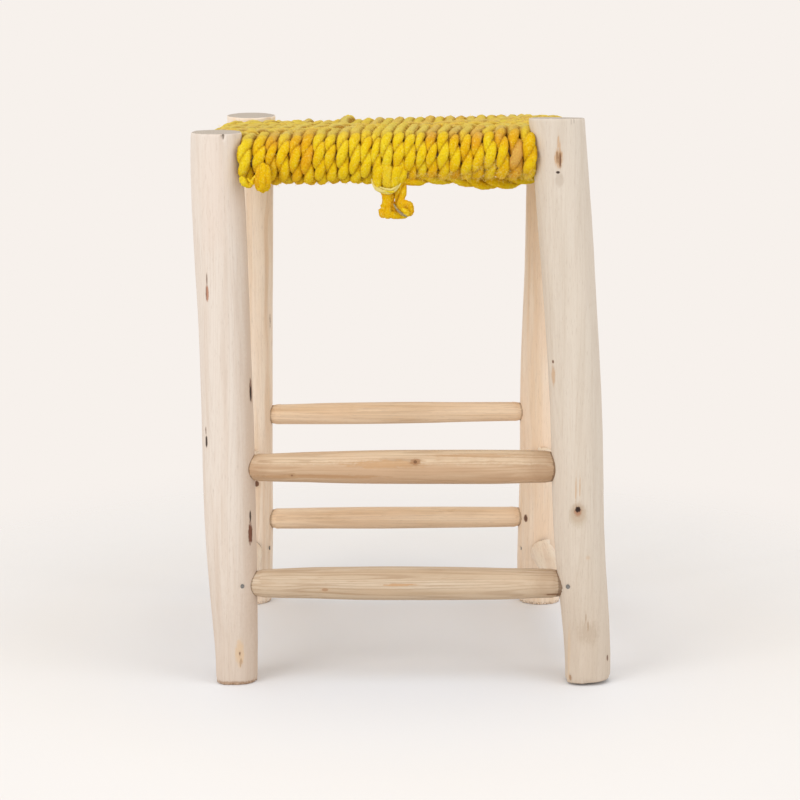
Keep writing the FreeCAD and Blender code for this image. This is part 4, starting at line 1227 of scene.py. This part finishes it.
def leg_shape(leg):
    middle, seed = LEG_MIDDLES[leg], LEG_SEEDS[leg]
    dents = []
    for spot, radii, _, core_share, *_ in LEG_MARKS_AND_SHADES[leg]:
        dents.append((in_metres(spot), in_metres(radii), KNOT_DENT * core_share))
    for spot, radii, deep in LEG_NOTCHES.get(leg, ()):
        dents.append((in_metres(spot), in_metres(radii), deep * MM))
    slant = FOOT_SLANTS.get(leg, 0.0)
    low_corner, high_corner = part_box("leg_" + leg)
    top = high_corner.z
    foot = [v.co for v in nodes["leg_" + leg].data.vertices if v.co.z < low_corner.z + 0.020]
    foot_middle = sum(foot, Vector()) / len(foot)

    def shape(point, normal):
        x, y, z = point
        knife = noise.noise(Vector((x * 70 + seed, y * 70, z * 11)))
        broad = noise.noise(Vector((x * 22, y * 22 + seed, z * 6)))
        fine = noise.noise(Vector((x * 260, y * 260, z * 60 + seed)))
        move = KNIFE_CUTS * knife + BENDS * broad + LEG_FIBRES * fine - SHAVING
        for centre, radii, deep in dents:
            move -= deep * hollow(point, centre, radii)
        side = math.hypot(normal.x, normal.y)
        inward = Vector((x - middle[0], y - middle[1], 0)).normalized()
        chip = max(0.0, noise.noise(Vector((x * 190, y * 190, seed))) + 0.1)
        low = max(0.0, 1 - z / FOOT_WEAR)
        high = max(0.0, 1 - (top - z) / TOP_WEAR)
        move -= CHIP * chip * low ** 2 * side
        moved = point + normal * move * side - inward * END_ROUND * (low ** 2 + high ** 2)
        if leg.startswith("front"):
            moved = hewn_corner(moved, foot_middle, 1 - smoothed(z, HEWN_LOW, HEWN_HIGH))
        raised = max(0.0, slant * (x - low_corner.x - SLANT_FROM))
        moved.z += raised * max(0.0, 1 - z / SLANT_HIGH)
        return Vector(min(max(m, l), h) for m, l, h in zip(moved, low_corner, high_corner))

    return shape


def make_legs():
    for leg, tints in LEG_TINTS.items():
        material = wood_finish(
            leg.replace("_", " ") + " leg wood", "z", (*LEG_MIDDLES[leg], 0.0), tints,
            LEG_SEEDS[leg], LEG_STREAKS, marks=LEG_MARKS_AND_SHADES[leg], lines=LEG_LINES,
        )
        piece = whittle("leg_" + leg, leg + "_leg", material, leg_shape(leg))


make_legs()


# Rungs

# The marks of the front rungs, as wood_finish takes them
RUNG_MARKS = {
    "front_upper": (
        ((0, -148, 174.6), (230, 40, 9.6), paint(190, 150, 114), 0.40, TAN, 0.0, 1.0, 1.2),
        ((-14, -148, 183.2), (30, 4, 3.4), paint(196, 152, 106), 0.55, TAN, 0.3, 1.3, 2.4),
        ((-72, -148, 172.4), (56, 6, 1.8), paint(184, 140, 98), 0.55, TAN, 0.2, 1.6, 1.6),
        ((60, -147, 189.5), (44, 6, 1.2), paint(184, 140, 98), 0.45, TAN, 0.2, 1.6, 1.4),
        ((9.3, -147.4, 184.7), (4.4, 3.4, 3.0), paint(168, 124, 86), 0.7, BROWN, 0.4, 1.6, 1.2),
        ((9.5, -147.4, 184.7), (1.5, 2.0, 1.5), paint(116, 80, 54), 0.8, BROWN, 0.4, 1.5, 0.8),
        ((-90, -145.3, 173.6), (3.4, 3, 2.2), paint(184, 146, 108), 0.7, TAN, 0.5, 2.0, 0.8),
        ((-90, -145.3, 173.6), (1.3, 2, 1.0), paint(136, 98, 68), 0.8, TAN, 0.5, 1.6, 0.8),
        ((114, -144, 180), (16, 20, 20), BROWN, 0.0, BROWN, 0.40, 1.6, 1.0),
        ((-118, -142, 180), (9, 20, 20), BROWN, 0.0, BROWN, 0.22, 1.6, 1.0),
    ),
    "front_lower": (
        ((-2.8, -148.7, 83.4), (13, 2, 1.0), paint(196, 150, 106), 0.7, TAN, 0.4, 1.8, 1.6),
        ((-63.8, -147.3, 78.8), (2.6, 2, 1.4), paint(176, 138, 106), 0.8, TAN, 0.5, 2.2, 0.8),
        ((122, -145, 74), (7.5, 5, 1.0), paint(112, 80, 56), 0.8, BROWN, 0.5, 1.8, 0.8),
        ((118, -144, 82), (14, 20, 20), BROWN, 0.0, BROWN, 0.30, 1.6, 1.0),
    ),
}
RUNG_RUNS = {"front": "x", "back": "x", "left": "y", "right": "y"}
# Pale wood, deep wood and blush: a rung's own, its side's, or that of all the sides. The
# back and side rungs' tints are paler than the front ones': painted light, standing in for
# light that reaches them less.
RUNG_TINTS = {
    "front_upper": (paint(222, 198, 168), paint(202, 172, 140), paint(214, 182, 150)),
    "front_lower": (paint(211, 191, 166), paint(197, 172, 143), paint(208, 182, 153)),
    "back": (paint(241, 216, 187), paint(226, 195, 160), paint(234, 203, 171)),
    "side": (paint(248, 234, 214), paint(236, 216, 194), paint(242, 222, 200)),
}
# Radius of each rung's ends in mm, the left one first as seen from outside the stool. They
# are a little fuller than the solid's.
RUNG_ENDS = {
    "front_upper": (11.2, 13.1), "front_lower": (11.5, 11.9), "back_upper": (8.8, 9.3),
    "back_lower": (9.4, 9.4), "left_upper": (10.1, 9.9), "left_lower": (10.7, 10.4),
    "right_upper": (9.7, 9.5), "right_lower": (10.9, 10.6),
}
# How strongly the streaks, the lines and the painted shade lines at the legs show on a rung.
RUNG_STREAKS = 0.4
RUNG_LINES = {"front": 0.32, "back": 0.14, "left": 0.0, "right": 0.0}
SOCKET_SHADES = {"front": 0.6, "back": 0.35, "left": 0.9, "right": 0.9}
# How far the fibres stand out on a rung.
RUNG_FIBRES = 0.0001
# Between which distances from its tip a rung is made fuller, and from where it swells.
FULL_FROM, FULL_TO, SWELLS_FROM = 0.019, 0.0335, 0.024
# What is nearer to the centre line than this belongs to the tenon and keeps its place.
TENON_RADIUS = 0.0072
# The front rungs lean towards the front at the left end and away from it at the right end:
# by how much, from how far off the end, and over what length.
LEAN_LEFT, LEAN_RIGHT, LEAN_FROM, LEAN_LENGTH = 0.0026, 0.0020, 0.075, 0.035
# How far inside a leg the centre lies that its socket's line of painted shade is drawn from.
SOCKET_INSET = 0.006
ABOVE_TENON = Vector((0, 0, 0.0105))
# How far a socket gapes, by its rung and by whether it is the one at the back: its line of
# painted shade lies that much further out on the rung.
OPEN_SOCKET_SHADES = {("rung_right_lower", True): 0.0032, ("rung_left_lower", True): 0.0016}


def rung_axis(node, axis):
    """The two ends of a rung's centre line, which runs along an axis."""
    points = [vertex.co for vertex in nodes[node].data.vertices]
    ends = []
    for tip in (min(p[axis] for p in points), max(p[axis] for p in points)):
        near = [p for p in points if abs(p[axis] - tip) < 0.0005]
        ends.append(sum(near, Vector()) / len(near))
    return ends


def mesh_tree(mesh):
    points = [vertex.co for vertex in mesh.vertices]
    return BVHTree.FromPolygons(points, [face.vertices for face in mesh.polygons])


leg_trees = [mesh_tree(nodes["leg_" + leg].data) for leg in LEG_TINTS]


def rung_sockets(node, axis):
    """A centre inside the leg at each end of a rung, and how far the leg's face is from it,
    found by a ray from the rung's middle that passes just above its tenon."""
    ends = rung_axis(node, axis)
    along = (ends[1] - ends[0]).normalized()
    half = (ends[1] - ends[0]).length / 2
    start = (ends[0] + ends[1]) / 2 + ABOVE_TENON
    sockets = []
    for end, outward in zip(ends, (-along, along)):
        reached = [tree.ray_cast(start, outward)[3] for tree in leg_trees]
        nearest = min(reach for reach in reached if reach is not None)
        gap = OPEN_SOCKET_SHADES.get((node, outward.y > 0), 0.0)
        centre = tuple(end - outward * SOCKET_INSET)
        sockets.append((centre, half - nearest - SOCKET_INSET + gap))
    return sockets


def long_noise(point, axis, across, along, shift):
    """Noise drawn out along one axis, given how often it changes in a metre."""
    often = [across, across, across]
    often[axis] = along
    return noise.noise(Vector(p * rate + moved for p, rate, moved in zip(point, often, shift)))


def rung_shape(node, seed):
    low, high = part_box(node)
    axis = 0 if high.x - low.x > high.y - low.y else 1
    ends = rung_axis(node, axis)
    length = ends[1][axis] - ends[0][axis]
    full = in_metres(RUNG_ENDS[node.replace("rung_", "")])
    if node.startswith(("rung_left", "rung_back")):
        full = full[::-1]

    def shape(point, normal):
        fine = long_noise(point, axis, 220.0, 22.0, (0, seed, 0))
        knife = long_noise(point, axis, 60.0, 14.0, (seed, 0, 0))
        moved = point + normal * (KNIFE_CUTS * knife + RUNG_FIBRES * fine - SHAVING)
        run = point[axis] - ends[0][axis]
        centre = ends[0].lerp(ends[1], run / length)
        spoke = moved - centre
        spoke[axis] = 0.0
        if spoke.length < TENON_RADIUS:
            return moved
        for radius, gone in zip(full, (run, length - run)):
            if FULL_FROM < gone < FULL_TO:
                wanted = radius * (0.90 + 0.10 * smoothed(gone, SWELLS_FROM, FULL_TO))
                moved += spoke.normalized() * max(0.0, wanted - spoke.length)
        if node.startswith("rung_front"):
            moved.y -= LEAN_LEFT * smoothed(LEAN_FROM - run, 0.0, LEAN_LENGTH)
            moved.y += LEAN_RIGHT * smoothed(run - length + LEAN_FROM, 0.0, LEAN_LENGTH)
        return moved

    return shape


def make_rungs():
    for side, runs in RUNG_RUNS.items():
        for level in ("upper", "lower"):
            name = side + "_" + level
            node = "rung_" + name
            low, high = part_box(node)
            seed = len(side) * 2.3 + len(level) * 0.7 + (5.1 if level == "upper" else 0)
            tints = RUNG_TINTS.get(name) or RUNG_TINTS.get(side) or RUNG_TINTS["side"]
            material = wood_finish(
                name.replace("_", " ") + " rung wood", runs, tuple((low + high) / 2), tints,
                seed, RUNG_STREAKS, marks=RUNG_MARKS.get(name, ()), lines=RUNG_LINES[side],
                sockets=rung_sockets(node, "xy".index(runs)), socket_shade=SOCKET_SHADES[side],
            )
            piece = whittle(node, name + "_rung", material, rung_shape(node, seed))


make_rungs()


# Seat rails

RAIL_TINTS = (paint(232, 206, 168), paint(212, 176, 132), paint(222, 190, 152))
RAIL_SEED, RAIL_STREAKS = 3.3, 0.5


def dress_rails():
    for side, runs in RUNG_RUNS.items():
        low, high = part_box("seat_rail_" + side)
        middle = tuple((low + high) / 2)
        material = wood_finish(
            side + " rail wood", runs, middle, RAIL_TINTS, RAIL_SEED, RAIL_STREAKS,
        )
        dress(nodes["seat_rail_" + side].data, material)


dress_rails()


# Nails

def nail_finish():
    material, tree, shader = new_material("dull nail steel")
    spot = place(tree, "ShaderNodeTexCoord").outputs["Object"]
    tarnish = cloudy(tree, spot, 900.0, 3.0)
    colour = mixed(tree, tarnish, paint(160, 160, 158), paint(92, 88, 84))
    feed(tree, shader["Base Color"], colour)
    shader["Metallic"].default_value = 0.8
    feed(tree, shader["Roughness"], maths(tree, "MULTIPLY_ADD", tarnish, 0.3, 0.35))
    feed(tree, shader["Normal"], bumped(tree, tarnish, 0.3, 0.0004))
    return material


nail_material = nail_finish()
for side in RUNG_RUNS:
    dress(nodes["nails_" + side + "_rung"].data, nail_material)


# Start knot under the front left corner: single strands, as the half hitch's are

START_LUMP = (
    (((-113.2, -155.5, 421.5), (-114.2, -158, 413), (-114.2, -157, 408.4), (-113.8, -153, 405.6)),
     (2.4, 3.2, 3.3, 2.8), 0.66, 0.0),
    (((-110.4, -156.5, 423.4), (-110.8, -159, 414), (-110.8, -158, 407.4), (-111.0, -154, 404.2)),
     (2.6, 3.2, 3.4, 3.2), 0.56, 0.0),
    (((-114.2, -154, 407.4), (-111.4, -157, 404.6), (-108.2, -154, 405.8)),
     (2.8, 3.5, 3.0), 0.40, 0.0),
    (((-107.4, -155.5, 422), (-107.0, -158, 414.6), (-107.2, -157, 409), (-107.8, -153, 406.4)),
     (2.4, 3.0, 3.2, 2.8), 0.62, 0.0),
    (((-112.4, -156, 410), (-110.2, -160, 408.4), (-108.0, -157, 411.4)),
     (1.6, 2.0, 1.6), 0.72, 0.0),
    (((-127.6, -150, 412.4), (-125.2, -154, 410.0), (-122.8, -152, 407.4)),
     (2.6, 3.3, 2.4), 0.24, 0.0),
    (((-120.8, -154, 406.8), (-119.2, -157.5, 411), (-116.6, -159, 415.6)),
     (1.5, 1.4, 0.7), 0.46, 0.0),
    (((-122.6, -155, 413.2), (-120.4, -157.6, 411.0), (-118.2, -158.4, 409.0)),
     (0.7, 1.1, 0.8), 0.30, 0.0),
)


def make_start_knot():
    rope = Rope()
    add_strands(rope, START_LUMP, 401)
    piece = rope.make("start_lump")
    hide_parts("start_knot")


make_start_knot()


# Floor, backdrop and light

BACKDROP = paint(247, 241, 236)
FLOOR_SIZE = 4.0
FLOOR_DROP = 0.0002
FLOOR_TINT = paint(220, 214, 208)
SHOWN_FLOOR, SHOWN_COOLED_SHADOW = paint(240, 236, 232), paint(238, 239, 242)
# From the stool's middle: where the floor begins and ends to fade into the backdrop, and
# where its tone begins and ends to change beneath the stool, to a cooler tone painted to
# cancel the warm bounce light in its shadow.
FLOOR_FADE, COOLED_SHADOW_REACH = (0.32, 0.68), (0.34, 0.10)
FILL_LIGHT, FILL_STRENGTH = (0.985, 0.99, 1.0, 1.0), 0.78


def make_floor():
    surface = bmesh.new()
    bmesh.ops.create_grid(surface, x_segments=1, y_segments=1, size=FLOOR_SIZE)
    mesh = bpy.data.meshes.new("floor")
    surface.to_mesh(mesh)
    surface.free()
    floor = bpy.data.objects.new("floor", mesh)
    floor.location.z = -FLOOR_DROP
    scene.collection.objects.link(floor)
    material = bpy.data.materials.new("pale floor")
    material.use_nodes = True
    tree = material.node_tree
    tree.nodes.clear()
    spot = place(tree, "ShaderNodeTexCoord").outputs["Object"]
    away = vectors(tree, "LENGTH", vectors(tree, "MULTIPLY", spot, (1.0, 0.8, 0.0)))
    fade = faded(tree, away, *FLOOR_FADE)
    # Beneath the stool the floor takes a cooler tone: painted light, cancelling the warm bounce in
    # its shadow.
    tone = mixed(tree, faded(tree, away, *COOLED_SHADOW_REACH), SHOWN_FLOOR, SHOWN_COOLED_SHADOW)
    seen = tree.nodes.new("ShaderNodeLightPath").outputs
    direct = maths(tree, "MAXIMUM", seen["Is Camera Ray"], seen["Is Glossy Ray"])
    tone = mixed(tree, direct, FLOOR_TINT, tone)
    matt = place(tree, "ShaderNodeBsdfDiffuse", Color=tone).outputs[0]
    clear = tree.nodes.new("ShaderNodeBsdfTransparent").outputs[0]
    both = place(tree, "ShaderNodeMixShader", Fac=fade)
    tree.links.new(matt, both.inputs[1])
    tree.links.new(clear, both.inputs[2])
    place(tree, "ShaderNodeOutputMaterial", Surface=both.outputs[0])
    mesh.materials.append(material)


def make_world():
    world = bpy.data.worlds.new("studio")
    scene.world = world
    world.use_nodes = True
    tree = world.node_tree
    tree.nodes.clear()
    seen = tree.nodes.new("ShaderNodeLightPath").outputs
    direct = maths(tree, "MAXIMUM", seen["Is Camera Ray"], seen["Is Glossy Ray"])
    direct = maths(tree, "MAXIMUM", direct, seen["Is Transmission Ray"])
    fill = place(tree, "ShaderNodeBackground", Color=FILL_LIGHT, Strength=FILL_STRENGTH)
    shown = place(tree, "ShaderNodeBackground", Color=BACKDROP, Strength=1.0)
    both = place(tree, "ShaderNodeMixShader", Fac=direct)
    tree.links.new(fill.outputs[0], both.inputs[1])
    tree.links.new(shown.outputs[0], both.inputs[2])
    place(tree, "ShaderNodeOutputWorld", Surface=both.outputs[0])


def make_lamp(name, spot, aim, size, power):
    data = bpy.data.lights.new(name, "AREA")
    data.shape = "SQUARE"
    data.size = size
    data.energy = power
    lamp = bpy.data.objects.new(name, data)
    lamp.location = spot
    lamp.rotation_euler = (Vector(aim) - Vector(spot)).to_track_quat("-Z", "Y").to_euler()
    scene.collection.objects.link(lamp)


make_floor()
make_world()
make_lamp("overhead softbox", (0.2, -0.3, 2.4), (0.0, 0.0, 0.2), 1.8, 9.0)
make_lamp("left softbox", (-1.7, -1.9, 1.1), (0.0, 0.0, 0.25), 1.5, 26.0)
make_lamp("right softbox", (1.9, -1.3, 1.0), (0.0, 0.0, 0.25), 1.5, 11.0)

scene.view_settings.view_transform = "Standard"
